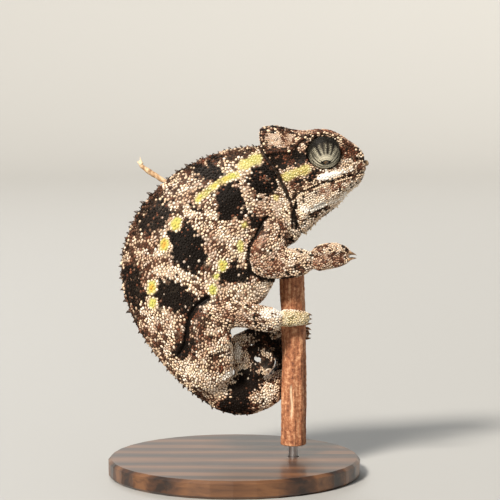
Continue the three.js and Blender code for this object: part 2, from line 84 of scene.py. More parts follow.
def set_up(tree: NodeTree, node: Node, given: dict) -> None:
    """Sets a shader node's properties and inputs.

    Args:
        tree: The material's node tree.
        node: The node.
        given: Properties by name, and inputs by name or number, each a value or the socket that feeds it;
            "ramp" holds colour stops.
    """
    for name, value in given.items():
        if isinstance(value, NodeSocket):
            tree.links.new(value, node.inputs[name])
        elif name == "ramp":
            stops = node.color_ramp.elements
            while len(stops) < len(value):
                stops.new(0.5)
            for stop, (place, colour) in zip(stops, value):
                stop.position = place
                stop.color = linear(colour)
        elif isinstance(name, str) and hasattr(node, name):
            setattr(node, name, value)
        else:
            node.inputs[name].default_value = value


def add_node(tree: NodeTree, kind: str, given: dict) -> Node:
    """Adds one shader node.

    Args:
        tree: The material's node tree.
        kind: The node's type without its "ShaderNode" prefix.
        given: Its settings and links, as set_up takes them.

    Returns:
        The node.
    """
    node = tree.nodes.new("ShaderNode" + kind)
    set_up(tree, node, given)
    return node


def box(node: str) -> tuple[Array, Array]:
    """The lowest and the highest corner of a CAD node's box, in millimetres."""
    low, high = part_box(node)
    return np.array(low) / MM, np.array(high) / MM


def middle(node: str) -> Array:
    """The middle of a CAD node's box, in millimetres."""
    low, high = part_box(node)
    return np.array((low + high) / 2) / MM


def node_mesh(node: str) -> BMesh:
    """Copies a CAD node, with its doubles merged.

    Args:
        node: The CAD node's name.

    Returns:
        The copy, in millimetres.
    """
    bm = bmesh.new()
    bm.from_mesh(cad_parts[node].data)
    bmesh.ops.remove_doubles(bm, verts=bm.verts, dist=1e-6)
    bmesh.ops.scale(bm, vec=Vector((1, 1, 1)) / MM, verts=bm.verts)
    bm.normal_update()
    return bm


def from_bmesh(bm: BMesh) -> Mesh:
    """Turns a bmesh into a smooth-shaded mesh.

    Args:
        bm: The bmesh, which is freed.

    Returns:
        The mesh.
    """
    mesh = bpy.data.meshes.new("made")
    bm.to_mesh(mesh)
    bm.free()
    mesh.shade_smooth()
    return mesh


def read_array(source: object, what: str, width: int = 3, kind: type = float) -> Array:
    """Reads one property of every element of a mesh.

    Args:
        source: The elements, such as a mesh's vertices.
        what: The property.
        width: How many numbers it has.
        kind: The kind of number.

    Returns:
        A row for each element.
    """
    values = np.empty(len(source) * width, kind)
    source.foreach_get(what, values)
    return values.reshape(-1, width)


def add_object(name: str, data: ID) -> Object:
    """Puts a new object in the scene.

    Args:
        name: The object's name.
        data: Its mesh, camera or light.

    Returns:
        The object.
    """
    made = bpy.data.objects.new(name, data)
    bpy.context.scene.collection.objects.link(made)
    return made


def hand_in(name: str, mesh: Mesh, finish: "Finish", stands_for: tuple = ()) -> None:
    """Makes a piece of a finished mesh, dresses it and ties it to the frame.

    Args:
        name: The piece's name.
        mesh: The mesh in millimetres, in its place.
        finish: What its surface is made of.
        stands_for: CAD nodes that it replaces.
    """
    mesh.transform(Matrix.Scale(MM, 4))
    mesh.materials.append(finish.material())
    piece = add_object(name, mesh)
    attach(piece, "root")
    if stands_for:
        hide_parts(*stands_for)
    LOG.info("%s: %d faces for %s", name, len(mesh.polygons), stands_for or "looks only")


# ---------- finishes


class Finish:
    """What a surface is made of: one material, built once."""

    name: str

    def material(self) -> Material:
        """Makes the finish's material at its first use.

        Returns:
            The material.
        """
        made = bpy.data.materials.get(self.name)
        if made is None:
            made = bpy.data.materials.new(self.name)
            made.use_nodes = True
            tree = made.node_tree
            self.dress(tree, tree.nodes["Principled BSDF"])
        return made

    def dress(self, tree: NodeTree, shader: Node) -> None:
        """Adds the nodes of the finish and feeds them to the shader.

        Args:
            tree: The material's node tree.
            shader: Its Principled BSDF node.
        """
        raise NotImplementedError


@dataclass(frozen=True)
class StudioPaper(Finish):
    """Seamless matt paper: one even pale grey with no gloss, which shows the soft shadows.

    Attributes:
        name: The material's name.
        colour: The colour of the paper.
        roughness: How matt it is.
    """

    name: str = "studio_paper"
    colour: str = "#a6a6a4"
    roughness: float = 0.6

    def dress(self, tree: NodeTree, shader: Node) -> None:
        """Sets the paper's colour and roughness."""
        set_up(tree, shader, {"Base Color": linear(self.colour), "Roughness": self.roughness})


# ---------- shared shapes and noise


def unit(vectors: Array) -> Array:
    """The vectors at length one."""
    return vectors / np.maximum(np.linalg.norm(vectors, axis=-1, keepdims=True), 1e-9)


def smoothstep(low: float, high: float, value: Array) -> Array:
    """A soft step from 0 at low to 1 at high."""
    t = np.clip((value - low) / (high - low), 0, 1)
    return t * t * (3 - 2 * t)


class Mottle:
    """Smooth seeded noise in space, from 0 to 1."""

    side = 32

    def __init__(self, seed: int) -> None:
        """Fills the lattice.

        Args:
            seed: Where its random draws start.
        """
        self.lattice = np.random.default_rng(seed).random((self.side,) * 3)

    def at(self, places: Array, size: float, shift: float = 0.0) -> Array:
        """The noise at each place.

        Args:
            places: Points in millimetres.
            size: The width of one lump.
            shift: Steps the lattice, for a second pattern of the same size.

        Returns:
            One value for each point.
        """
        scaled = places / size + shift
        cell = np.floor(scaled).astype(int)
        part = scaled - cell
        part = part * part * (3 - 2 * part)
        total = np.zeros(len(places))
        for corner in np.ndindex(2, 2, 2):
            share = np.prod(np.where(corner, part, 1 - part), axis=1)
            i, j, k = ((cell + corner) % self.side).T
            total += share * self.lattice[i, j, k]
        return total


MOTTLE = Mottle(SEED)


@dataclass(frozen=True)
class Line:
    """A line or spot laid on the body's sides.

    Attributes:
        node: The CAD node whose middle the path is measured from.
        path: Offsets towards the snout and upwards.
        half: Half of its width.
        amount: How strong it is: a depth in millimetres, or a share of pigment.
        parts: The parts of the body that it lies on; all of them if empty.
    """

    node: str
    path: tuple[tuple[float, float], ...]
    half: float
    amount: float = 1.0
    parts: tuple[str, ...] = ()

    def points(self) -> Array:
        """The path's points, as places towards the snout and upwards."""
        return np.array(self.path) + middle(self.node)[[0, 2]]

    def distance(self, places: Array) -> Array:
        """Measures how far each place is from the path, seen from the side.

        Args:
            places: Points in millimetres.

        Returns:
            One distance for each.
        """
        points = self.points()
        flat = places[:, [0, 2]]
        nearest = np.full(len(places), np.inf)
        for start, end in zip(points, points[1:] if len(points) > 1 else points):
            run = end - start
            share = np.clip((flat - start) @ run / max(run @ run, 1e-9), 0, 1)
            nearest = np.minimum(nearest, np.linalg.norm(flat - start - share[:, None] * run, axis=1))
        return nearest

    def here(self, parts: Array) -> Array:
        """Finds the points that lie on a part that the line is on.

        Args:
            parts: The number of the part that each point is on.

        Returns:
            True or false for each.
        """
        if not self.parts:
            return np.ones(len(parts), bool)
        return np.isin(parts, [FLESH.index(name) for name in self.parts])

    def groove(self, places: Array, parts: Array) -> Array:
        """How deep the line cuts at each place, with soft sides."""
        weight = np.exp(-((self.distance(places) / self.half) ** 2))
        return self.amount * weight * self.here(parts)

    def cover(self, places: Array, parts: Array, soft: float = 0.5, grow: float = 0.0) -> Array:
        """How much the line covers each place, with an edge soft millimetres wide, moved out by grow."""
        inside = np.clip((self.half + grow - self.distance(places)) / soft + 0.5, 0, 1)
        return self.amount * inside * self.here(parts)

    def walk(self, pitch: float) -> Array:
        """Walks along the path.

        Args:
            pitch: The length of a step.

        Returns:
            The places where the steps end, towards the snout and upwards.
        """
        return stops_along(self.points(), pitch)


def stops_along(points: Array, pitch: float) -> Array:
    """Spaces points evenly along a line.

    Args:
        points: The line's points.
        pitch: The distance from stop to stop.

    Returns:
        The stops, from the line's start.
    """
    run = np.concatenate([[0], np.cumsum(np.linalg.norm(np.diff(points, axis=0), axis=1))])
    stops = np.arange(0, run[-1], pitch)
    return np.stack([np.interp(stops, run, column) for column in points.T], axis=1)


def lines(parts: tuple[str, ...], *rows: tuple) -> tuple[Line, ...]:
    """Reads a table of lines, measured from the head's middle where they lie on it, or from the trunk's.

    Args:
        parts: The parts of the body that they lie on.
        rows: For each line, half of its width, its amount, and the points of its path.

    Returns:
        The lines, in the table's order.
    """
    node = "head" if "head" in parts else "trunk"
    return tuple(Line(node, tuple(path), half, amount, parts) for half, amount, *path in rows)


# ---------- the skin


SIDES = ("near", "far")
HANDS = tuple(f"{side}_{leg}" for side in SIDES for leg in ("fore", "hind"))
FEET = tuple(f"{hand}_{row}_toes" for hand in HANDS for row in ("inner", "outer"))
UPPER_LEGS = tuple(f"{hand}_upper" for hand in HANDS)
LOWER_LEGS = tuple(f"{hand}_lower" for hand in HANDS)
TAIL = tuple(f"tail_{i}" for i in range(1, 6))
FACE = ("head", "lower_jaw")
FLESH = (*FACE, "neck", "trunk", *UPPER_LEGS, *LOWER_LEGS, *FEET, *TAIL)


@dataclass(frozen=True)
class Seam:
    """Where two parts of the body meet.

    Attributes:
        one: The first part.
        other: The second part.
        depth: How deep the fold between them is; none where they flow together.
        width: Half of the fold's width.
    """

    one: str
    other: str
    depth: float = 0.0
    width: float = 0.5


def seams() -> list[Seam]:
    """Lists every place where two parts meet.

    Returns:
        The seams.
    """
    found = [
        Seam("head", "neck", 0.8, 0.32),
        Seam("lower_jaw", "neck", 0.7, 0.32),
        Seam("head", "lower_jaw", 0.6, 0.24),
        Seam("neck", "trunk"),
        Seam("trunk", "tail_1"),
    ]
    found += [Seam(*pair) for pair in zip(TAIL, TAIL[1:])]
    for hand in HANDS:
        found += [Seam(f"{hand}_upper", f"{hand}_lower", 0.12, 0.5)]
        found += [Seam(f"{hand}_{part}", "trunk", 0.15, 0.35) for part in ("upper", "lower")]
        found += [Seam(f"{hand}_lower", f"{hand}_{row}_toes", 0.2, 0.4) for row in ("inner", "outer")]
    found += [Seam(f"{side}_fore_upper", "neck") for side in SIDES]
    return found


THIGHS = ("trunk", "near_hind_upper", "far_hind_upper")
ARMS = ("trunk", "neck", *UPPER_LEGS, *LOWER_LEGS)
THIGH_LINE = ((0.8, -4.6), (-2.0, -6.6), (-3.7, -9.4), (-4.3, -13.0), (-4.8, -16.4), (-5.9, -18.6))
ARM_LINE = (
    (15.8, 15.4),
    (14.6, 14.3),
    (13.2, 11.4),
    (11.5, 8.8),
    (11.0, 7.4),
    (10.9, 4.5),
    (11.7, 1.3),
    (14.6, 0.0),
    (18.4, -0.4),
    (22.0, 0.3),
)
RELIEF = lines(
    FACE,
    # The head: its side crest, the brow over the eye, and the hollows between them.
    (0.65, -0.55, (-11.3, 2.9), (-8.7, 3.3), (-6.1, 3.3), (-4.4, 4.9), (-2.7, 6.3), (-1.0, 7.3)),
    (0.7, -0.5, (-1.7, 4.6), (-0.5, 6.6), (2.6, 7.7), (5.6, 6.7), (7.8, 5.2), (10.3, 3.8), (12.6, 1.8)),
    (1.9, 0.7, (-10.5, 6.0), (-7.5, 6.4)),
    (1.5, 0.4, (-9.2, 0.6), (-3.7, 1.4)),
    (1.1, 0.45, (7.9, 2.0), (10.9, 1.2)),
    (0.6, -0.25, (1.8, -3.3), (6.8, -1.9), (12.1, -0.6)),
    (0.7, -0.15, (-7.6, -3.5), (-4.3, -2.1), (-1.3, -0.8)),
    (0.3, 0.6, (11.3, 1.5)),
    # The throat's long folds.
    (0.35, 0.3, (-0.7, -11.2), (2.8, -9.6)),
    (0.35, 0.3, (-1.1, -12.6), (1.7, -11.4)),
    (0.35, 0.3, (-2.1, -14.1), (0.3, -12.8)),
) + lines(
    ("neck", "lower_jaw"),
    (0.4, 0.6, (22.7, 18.6), (22.0, 15.9), (22.2, 12.6)),
) + lines(
    ARMS,
    # The shoulder and the arm: a deep line round them, and two short ones at the elbow's crook.
    (0.42, 0.75, *ARM_LINE),
    (0.32, 0.45, (19.8, 10.3), (24.4, 7.4)),
) + lines(
    ("neck", "trunk"),
    (0.3, 0.35, (22.1, 11.4), (24.6, 9.2)),
) + lines(
    (*LOWER_LEGS, *FEET),
    (0.3, 0.35, (26.6, 8.0), (26.7, 3.8)),
) + lines(
    THIGHS,
    # The thigh: a deep line behind the knee, the knee's swell, its sinew and the fold of the flank.
    (0.45, 0.75, *THIGH_LINE),
    (1.6, -0.35, (-0.2, -8.4), (-1.4, -11.5), (-1.6, -15.0)),
    (0.6, -0.3, (0.9, -18.6), (6.9, -14.4)),
    (0.8, 0.3, (2.2, -19.4), (5.6, -18.4)),
) + lines(
    ("trunk",),
    (0.8, -0.35, (-10.3, -14.4), (-3.6, -23.1), (0.2, -26.9)),
)


class SkinShape:
    """The skin as arrays: its points, edges and what they belong to.

    Attributes:
        spine_band: How far from the middle plane a point still counts for the outline.
        outline_steps: How many angles the outline is read at.
        outline_window: How far from such an angle a point still counts, in degrees.
        sharpest: The angle between faces at which the map is cut, in degrees.
    """

    spine_band = 0.6
    outline_steps = 160
    outline_window = 1.2
    sharpest = 66

    def __init__(self, mesh: Mesh) -> None:
        """Reads a mesh and finds the part of the body under each point.

        Args:
            mesh: The cast skin.
        """
        self.mesh = mesh
        self.places = read_array(mesh.vertices, "co")
        self.edges = read_array(mesh.edges, "vertices", 2, int)
        self.parts = self.nearest_parts()
        self.crease = np.zeros(len(self.places))
        self.refresh()

    def refresh(self) -> None:
        """Puts the moved points back in the mesh and reads its normals again."""
        self.mesh.vertices.foreach_set("co", self.places.ravel())
        self.mesh.update()
        self.normals = read_array(self.mesh.vertices, "normal")

    def nearest_parts(self) -> Array:
        """Finds the part of the body that each point is nearest to.

        Returns:
            The number of the part for each point.
        """
        joined = bmesh.new()
        owners = []
        for number, node in enumerate(FLESH):
            bm = node_mesh(node)
            owners += [number] * len(bm.faces)
            joined.from_mesh(from_bmesh(bm))
        tree = BVHTree.FromBMesh(joined)
        found = [owners[tree.find_nearest(place)[2]] for place in self.places]
        joined.free()
        return np.array(found)

    def on(self, *parts: str) -> Array:
        """Which points belong to one of the parts."""
        return np.isin(self.parts, [FLESH.index(part) for part in parts])

    def average(self, values: Array, rounds: int = 1) -> Array:
        """Gives each point the mean of its neighbours' values.

        Args:
            values: One number or row for each point.
            rounds: How often that is done.

        Returns:
            The blurred values.
        """
        count = len(self.places)
        ends, others = np.concatenate([self.edges, self.edges[:, ::-1]]).T
        reach = np.maximum(np.bincount(ends, minlength=count), 1)
        for _ in range(rounds):
            columns = values.reshape(count, -1).T
            sums = np.stack([np.bincount(ends, column[others], count) for column in columns], axis=1)
            values = (sums / reach[:, None]).reshape(values.shape)
        return values

    def relax(self, strength: Array, rounds: int) -> None:
        """Smooths the skin where strength is above nought."""
        for _ in range(rounds):
            self.places += strength[:, None] * (self.average(self.places) - self.places)

    def outline(
        self, parts: tuple[str, ...], centre: Array, turn: tuple[float, float], pitch: float
    ) -> Array:
        """Follows the skin's outermost line in the middle plane.

        Args:
            parts: The parts that it runs over.
            centre: The point that it runs round, in the middle plane.
            turn: Its first and last angle seen from there, in degrees.
            pitch: The step between its points.

        Returns:
            Points on the skin, evenly spaced.
        """
        band = self.on(*parts) & (abs(self.places[:, 1] - centre[1]) < self.spine_band)
        arm = self.places[band][:, [0, 2]] - centre[[0, 2]]
        angle = np.degrees(np.arctan2(arm[:, 1], arm[:, 0])) % 360
        reach = np.linalg.norm(arm, axis=1)
        line = []
        for at in np.linspace(*turn, self.outline_steps):
            close = abs((angle - at + 180) % 360 - 180) < self.outline_window
            if close.any():
                way = np.array([math.cos(math.radians(at)), 0, math.sin(math.radians(at))])
                line.append(centre + reach[close].max() * way)
        return stops_along(np.array(line), pitch)

    def unwrap(self) -> None:
        """Unfolds the skin into a map, which the scales take their places from."""
        blank = add_object("unfold", self.mesh)
        bpy.context.view_layer.objects.active = blank
        blank.select_set(True)
        self.mesh.uv_layers.new(name="OFBake")
        bpy.ops.object.mode_set(mode="EDIT")
        bpy.ops.mesh.select_all(action="SELECT")
        bpy.ops.uv.smart_project(angle_limit=math.radians(self.sharpest), island_margin=0.003)
        bpy.ops.object.mode_set(mode="OBJECT")
        bpy.data.objects.remove(blank)

    def triangles(self) -> tuple[Array, Array, Array]:
        """Cuts the skin into triangles.

        Returns:
            The numbers of their corners, the corners' places on the map, and their areas.
        """
        self.mesh.calc_loop_triangles()
        source = self.mesh.loop_triangles
        corners = read_array(source, "vertices", 3, int)
        spots = read_array(self.mesh.uv_layers["OFBake"].uv, "vector", 2)
        a, b, c = self.places[corners].transpose(1, 0, 2)
        areas = np.linalg.norm(np.cross(b - a, c - a), axis=1) / 2
        return corners, spots[read_array(source, "loops", 3, int)], areas


@dataclass
class Hide:
    """The one skin over all the flesh.

    Attributes:
        voxel: The pitch that the skin is cast at.
        cast_rounds: How often the cast is smoothed.
        overlap: How far each part is grown first, so that the gaps between them close.
        coat_depth: How far the skin lies inside the body's outline, to leave room for the scales.
        foot_depth: The same on the feet and the tail's tip, where the scales are small.
        reach: How far from a seam the skin still counts as part of it.
        flush: How far from a seam it is still blended in full.
        blend_rounds: How often the seams and the middle line are smoothed.
        spine_band: How far from the middle plane the middle line is smoothed.
        hip_reach: Where the smoothing round a hip starts and where it is full.
        hip_rounds: How often the hips are smoothed.
        narrow: The width under which a groove's floor counts as a crease.
        full_crease: The depth from which a crease is fully dark with painted shade.
    """

    voxel: float = 0.36
    cast_rounds: int = 8
    overlap: float = 0.22
    coat_depth: float = 0.2
    foot_depth: float = 0.1
    reach: float = 1.6
    flush: float = 0.4
    blend_rounds: int = 14
    spine_band: float = 1.0
    hip_reach: tuple[float, float] = (6.0, 3.0)
    hip_rounds: int = 40
    narrow: float = 0.5
    full_crease: float = 0.5

    def cast(self) -> Mesh:
        """Grows every part, casts them as one closed skin and smooths off the steps.

        Returns:
            The skin, grown by the overlap.
        """
        joined = bmesh.new()
        for node in FLESH:
            bm = node_mesh(node)
            for vert in bm.verts:
                vert.co += vert.normal * self.overlap
            joined.from_mesh(from_bmesh(bm))
        return recast(joined, self.voxel, self.cast_rounds)

    def beside(self, shape: SkinShape, seam: Seam) -> tuple[Array, Array]:
        """Finds the skin near a seam.

        Args:
            shape: The skin.
            seam: The seam.

        Returns:
            The numbers of the points near it, and how much nearer each is to one part than to the other.
        """
        pair = np.nonzero(shape.on(seam.one, seam.other))[0]
        gaps = []
        for node in (seam.one, seam.other):
            bm = node_mesh(node)
            tree = BVHTree.FromBMesh(bm)
            found = (tree.find_nearest(place, self.reach)[3] for place in shape.places[pair])
            gaps.append(np.array([np.inf if gap is None else gap for gap in found]))
            bm.free()
        both = np.isfinite(gaps[0]) & np.isfinite(gaps[1])
        return pair[both], abs(gaps[0][both] - gaps[1][both])

    def fold(self, shape: SkinShape) -> None:
        """Blends the parts into each other, then cuts the folds between and on them.

        Args:
            shape: The skin, which is changed.
        """
        joints = np.zeros(len(shape.places))
        cuts = np.zeros(len(shape.places))
        for seam in seams():
            near, apart = self.beside(shape, seam)
            joints[near] = np.maximum(joints[near], smoothstep(self.reach, self.flush, apart))
            cuts[near] = np.maximum(cuts[near], seam.depth * np.exp(-((apart / seam.width) ** 2)))
        spine = abs(shape.places[:, 1] - middle("head")[1]) < self.spine_band
        spine &= shape.on("trunk", "neck", "lower_jaw", "tail_1")
        shape.relax(np.where(spine, 0.8, joints * 0.7), self.blend_rounds)
        hips = [np.linalg.norm(shape.places - hip, axis=1) for hip in self.hips()]
        rump = shape.on("trunk", "tail_1", *UPPER_LEGS)
        shape.relax(smoothstep(*self.hip_reach, np.minimum(*hips)) * rump, self.hip_rounds)
        shape.refresh()
        side = self.sideways(shape)
        relief = sum(line.groove(shape.places, shape.parts) * side for line in RELIEF)
        narrow = (line for line in RELIEF if line.amount > 0 and line.half < self.narrow)
        deep = sum(line.groove(shape.places, shape.parts) for line in narrow) * side
        shape.crease = np.clip(np.maximum(cuts, deep) / self.full_crease, 0, 1)
        shape.places -= (cuts + relief)[:, None] * shape.normals

    @staticmethod
    def hips() -> list[Array]:
        """Finds where each thigh flows into the rump.

        Returns:
            The lower end of each, near and far.
        """
        ends = []
        for side in SIDES:
            low, high = box(f"{side}_hind_upper")
            ends.append(np.array([(low[0] + high[0]) / 2, (low[1] + high[1]) / 2, low[2]]))
        return ends

    @staticmethod
    def sideways(shape: SkinShape) -> Array:
        """How squarely each point faces to the side."""
        return smoothstep(0.15, 0.5, abs(shape.normals[:, 1]))

    def build(self) -> SkinShape:
        """Makes the skin.

        Returns:
            Its shape, for the coat to grow on.
        """
        shape = SkinShape(self.cast())
        depth = np.where(shape.on(*FEET, "tail_5"), self.foot_depth, self.coat_depth) + self.overlap
        shape.places -= depth[:, None] * shape.normals
        shape.refresh()
        self.fold(shape)
        shape.refresh()
        shape.unwrap()
        return shape


def recast(joined: BMesh, voxel: float, rounds: int) -> Mesh:
    """Casts a mesh again as one closed surface of even quads, and keeps its largest body.

    Args:
        joined: The mesh, which may be several shells that overlap; it is freed.
        voxel: The pitch of the cast.
        rounds: How often it is smoothed.

    Returns:
        The new mesh.
    """
    blank = add_object("blank", from_bmesh(joined))
    remesh = blank.modifiers.new("cast", "REMESH")
    remesh.mode = "VOXEL"
    remesh.voxel_size = voxel
    smooth = blank.modifiers.new("smooth", "SMOOTH")
    smooth.factor = 0.5
    smooth.iterations = rounds
    mesh = bpy.data.meshes.new_from_object(blank.evaluated_get(bpy.context.evaluated_depsgraph_get()))
    bpy.data.objects.remove(blank)
    bm = bmesh.new()
    bm.from_mesh(mesh)
    bm.verts.ensure_lookup_table()
    whole = largest_body(bm)
    bmesh.ops.delete(bm, geom=[vert for vert in bm.verts if vert not in whole], context="VERTS")
    bm.to_mesh(mesh)
    bm.free()
    mesh.shade_smooth()
    return mesh


def largest_body(bm: BMesh) -> set[BMVert]:
    """Finds the largest connected body of a mesh.

    Args:
        bm: The mesh.

    Returns:
        The body's points.
    """
    left = set(bm.verts)
    largest = set()
    while len(left) > len(largest):
        edge = {left.pop()}
        body = set(edge)
        while edge:
            edge = {link.other_vert(vert) for vert in edge for link in vert.link_edges} - body
            body |= edge
        left -= body
        largest = max(largest, body, key=len)
    return largest


# ---------- markings

FLANKS = ("trunk", "neck", "near_fore_upper", "far_fore_upper")
LIMBS = ("trunk", *UPPER_LEGS, *LOWER_LEGS, *FEET)

# The body's own black blotches, together with black laid as painted shade where noted below.
BLOTCHES_AND_SHADES = lines(
    FLANKS,
    (3.6, 1.0, (6.2, 20.6), (6.8, 18.3)),
    (3.9, 1.0, (-4.8, 10.0), (-3.4, 5.6)),
    (2.2, 0.95, (0.0, 26.9), (3.0, 26.4)),
    (2.6, 0.9, (-13.6, 13.6), (-10.4, 17.0)),
    (2.4, 0.9, (-18.4, 1.4), (-16.8, -5.0)),
    (3.4, 0.95, (-9.4, -3.7), (-5.2, -5.2)),
    (3.3, 1.0, (14.8, 25.4), (15.2, 23.6)),
    (2.4, 0.95, (5.8, 1.6), (9.0, 1.4)),
    (1.5, 0.95, (12.2, 15.2), (13.4, 13.8)),
    (0.8, 0.85, (-2.2, 18.1), (-1.0, 17.4)),
    (0.5, 0.8, (7.9, 26.9)),
) + lines(
    THIGHS,
    # Painted shadow at the lower end of the thigh's dark contour.
    (1.5, 0.95, (-6.8, -18.3), (-4.8, -17.6)),
    (1.3, 0.9, (-3.4, -15.8), (-4.2, -17.8)),
    (1.9, 0.66, (0.2, -7.2), (-1.2, -11.2), (-1.8, -14.6)),
    (1.6, 0.4, (2.0, -6.4), (5.0, -6.0)),
    (1.0, 0.7, (2.4, -19.4), (5.4, -18.4)),
    # Painted shade beside the gap between the thigh, the shin and the coil.
    (0.6, 0.85, (6.9, -12.4), (7.2, -15.2)),
    (0.7, 0.9, (9.4, -12.2), (8.2, -14.2)),
) + lines(
    ("neck",),
    # Painted shadow of the casque on the neck, just behind the head's fold.
    (0.8, 0.85, (15.0, 32.0), (15.4, 29.0)),
) + lines(
    ARMS,
    # Painted shadow in the short crease between the forearm and the chest.
    (0.35, 0.95, (19.8, 10.3), (24.4, 7.4)),
) + lines(
    (*LOWER_LEGS, *FEET),
    # Painted shade in the crease at the wrist.
    (0.3, 0.8, (26.6, 8.0), (26.7, 3.8)),
) + lines(
    LIMBS,
    (0.5, 0.95, (12.0, -8.2), (12.4, -9.9)),
    (0.42, 0.95, (13.6, -9.2), (13.9, -7.6)),
    (0.4, 0.9, (15.3, -9.4)),
) + lines(
    TAIL,
    # Painted shade on the tail: over the coil's top and right side under the shin, in the coil's hollow
    # middle, and across the tail's base in the thigh's shadow.
    (1.9, 0.9, (11.8, -13.2), (16.0, -14.6), (18.4, -18.6), (18.9, -22.6)),
    (1.5, 0.9, (13.4, -17.6), (12.6, -20.1), (13.2, -22.6), (15.4, -22.1)),
    (2.9, 0.95, (6.9, -33.4), (9.4, -29.0), (11.2, -25.6)),
) + lines(
    FACE,
    (1.8, 0.95, (-9.6, 0.7), (-6.7, 1.0), (-2.7, 1.5)),
    (0.85, 1.0, (-4.7, -4.3), (-2.1, -3.1), (0.4, -1.8)),
    (0.9, 0.9, (0.6, -4.1), (1.2, -4.8)),
    (0.5, 0.9, (-1.3, -12.8), (1.3, -12.1), (4.5, -11.0)),
    (0.35, 0.8, (-2.1, -11.4), (0.1, -10.8)),
    (0.4, 0.85, (-3.3, -14.8), (-0.9, -13.6)),
    (0.4, 0.85, (1.0, -7.6), (2.0, -7.2)),
    (0.35, 0.85, (4.8, -6.0), (5.6, -5.8)),
    (0.35, 0.85, (6.4, -7.4), (7.2, -7.0)),
    (0.35, 0.85, (9.2, -6.0), (10.0, -5.6)),
    (0.7, 0.7, (8.3, 1.7), (9.7, 1.3)),
    (0.7, 0.6, (7.9, 3.7), (12.7, 1.7)),
    (0.75, 0.9, (-12.5, 8.2), (-9.8, 9.2), (-7.9, 9.0), (-4.7, 8.2)),
    (0.6, 0.9, (-12.9, 7.8), (-12.8, 5.2), (-11.7, 3.0)),
    (0.65, 0.9, (-11.3, 3.1), (-8.7, 3.4), (-6.1, 3.4), (-4.4, 5.0), (-2.7, 6.4), (-0.7, 7.2)),
    (0.45, 0.85, (-0.7, 7.2), (3.0, 7.8), (5.6, 7.0), (7.6, 5.6), (11.6, 3.0), (13.1, 1.5)),
)
# Painted shadow: black along the folds of the arm, the thigh and the throat, where shade falls between the
# parts.
FOLD_SHADOWS = lines(
    ARMS,
    (0.5, 1.0, *ARM_LINE),
) + lines(
    THIGHS,
    (0.9, 1.0, *THIGH_LINE),
) + lines(
    ("neck", "lower_jaw"),
    (0.55, 1.0, (22.7, 19.2), (22.6, 15.8), (22.9, 12.6)),
)

YELLOWS = lines(
    FLANKS,
    (1.2, 0.7, (13.4, 29.6), (9.6, 28.2)),
    (0.75, 0.6, (8.4, 26.0), (5.5, 24.9), (2.7, 23.1), (-1.2, 20.0)),
    (0.6, 1.0, (7.7, 25.8), (5.2, 24.7)),
    (0.7, 1.0, (3.0, 23.3), (2.4, 22.8)),
    (0.65, 1.0, (-0.9, 20.3), (-1.5, 19.7)),
    (0.95, 1.0, (-6.6, 14.4), (-7.3, 13.0)),
    (0.95, 1.0, (-9.7, 9.3), (-9.9, 8.1)),
    (0.95, 1.0, (-12.9, -1.3), (-13.0, -2.7)),
    (0.8, 1.0, (-12.6, -5.6), (-12.8, -6.5)),
    (1.0, 1.0, (4.6, 4.0), (4.5, 2.9)),
    (0.75, 1.0, (3.0, 0.9)),
    (0.95, 1.0, (2.2, -2.0), (2.1, -2.7)),
    (0.75, 0.8, (9.1, 8.9), (9.1, 7.6)),
    (0.7, 0.7, (9.9, 13.6)),
    (0.7, 0.6, (17.9, 20.2)),
) + lines(
    FACE,
    (1.0, 0.58, (-7.9, -3.5), (-4.7, -2.2), (-1.8, -1.1)),
) + lines(
    FEET,
    (2.2, 0.25, (18.6, -10.4), (26.6, -11.2)),
)

CORES = lines(
    FLANKS,
    (0.5, 0.9, (-9.8, 9.1), (-10.0, 8.1)),
    (0.45, 0.85, (-13.0, -1.7), (-13.1, -2.5)),
    (0.45, 0.3, (-6.9, 13.9), (-7.2, 13.2)),
    (0.45, 0.3, (4.6, 3.8), (4.5, 3.1)),
    (0.4, 0.4, (5.7, 25.0), (5.2, 24.7)),
    (0.4, 0.4, (2.7, 23.1)),
    (0.4, 0.4, (-1.2, 20.0)),
)

UMBERS = lines(
    FLANKS,
    (1.3, 0.75, (15.4, 24.9)),
) + lines(
    FACE,
    (0.9, 0.6, (-6.1, 1.0)),
    (2.0, 0.4, (-10.9, 5.9), (-6.8, 6.2)),
    (0.9, 0.8, (7.3, 3.2), (9.2, 2.3)),
    (0.8, 0.5, (-4.2, 8.4), (0.6, 8.6), (5.2, 8.2)),
    (1.0, 0.65, (1.9, -6.5), (7.9, -4.8)),
) + lines(
    ARMS,
    (1.8, 0.3, (13.5, 8.5), (13.6, 4.5), (18.0, 2.6)),
) + lines(
    LIMBS,
    (1.2, 0.35, (6.4, -8.8), (10.0, -9.8)),
) + lines(
    FEET,
    (2.4, 0.42, (26.4, 5.4), (32.6, 4.4)),
)
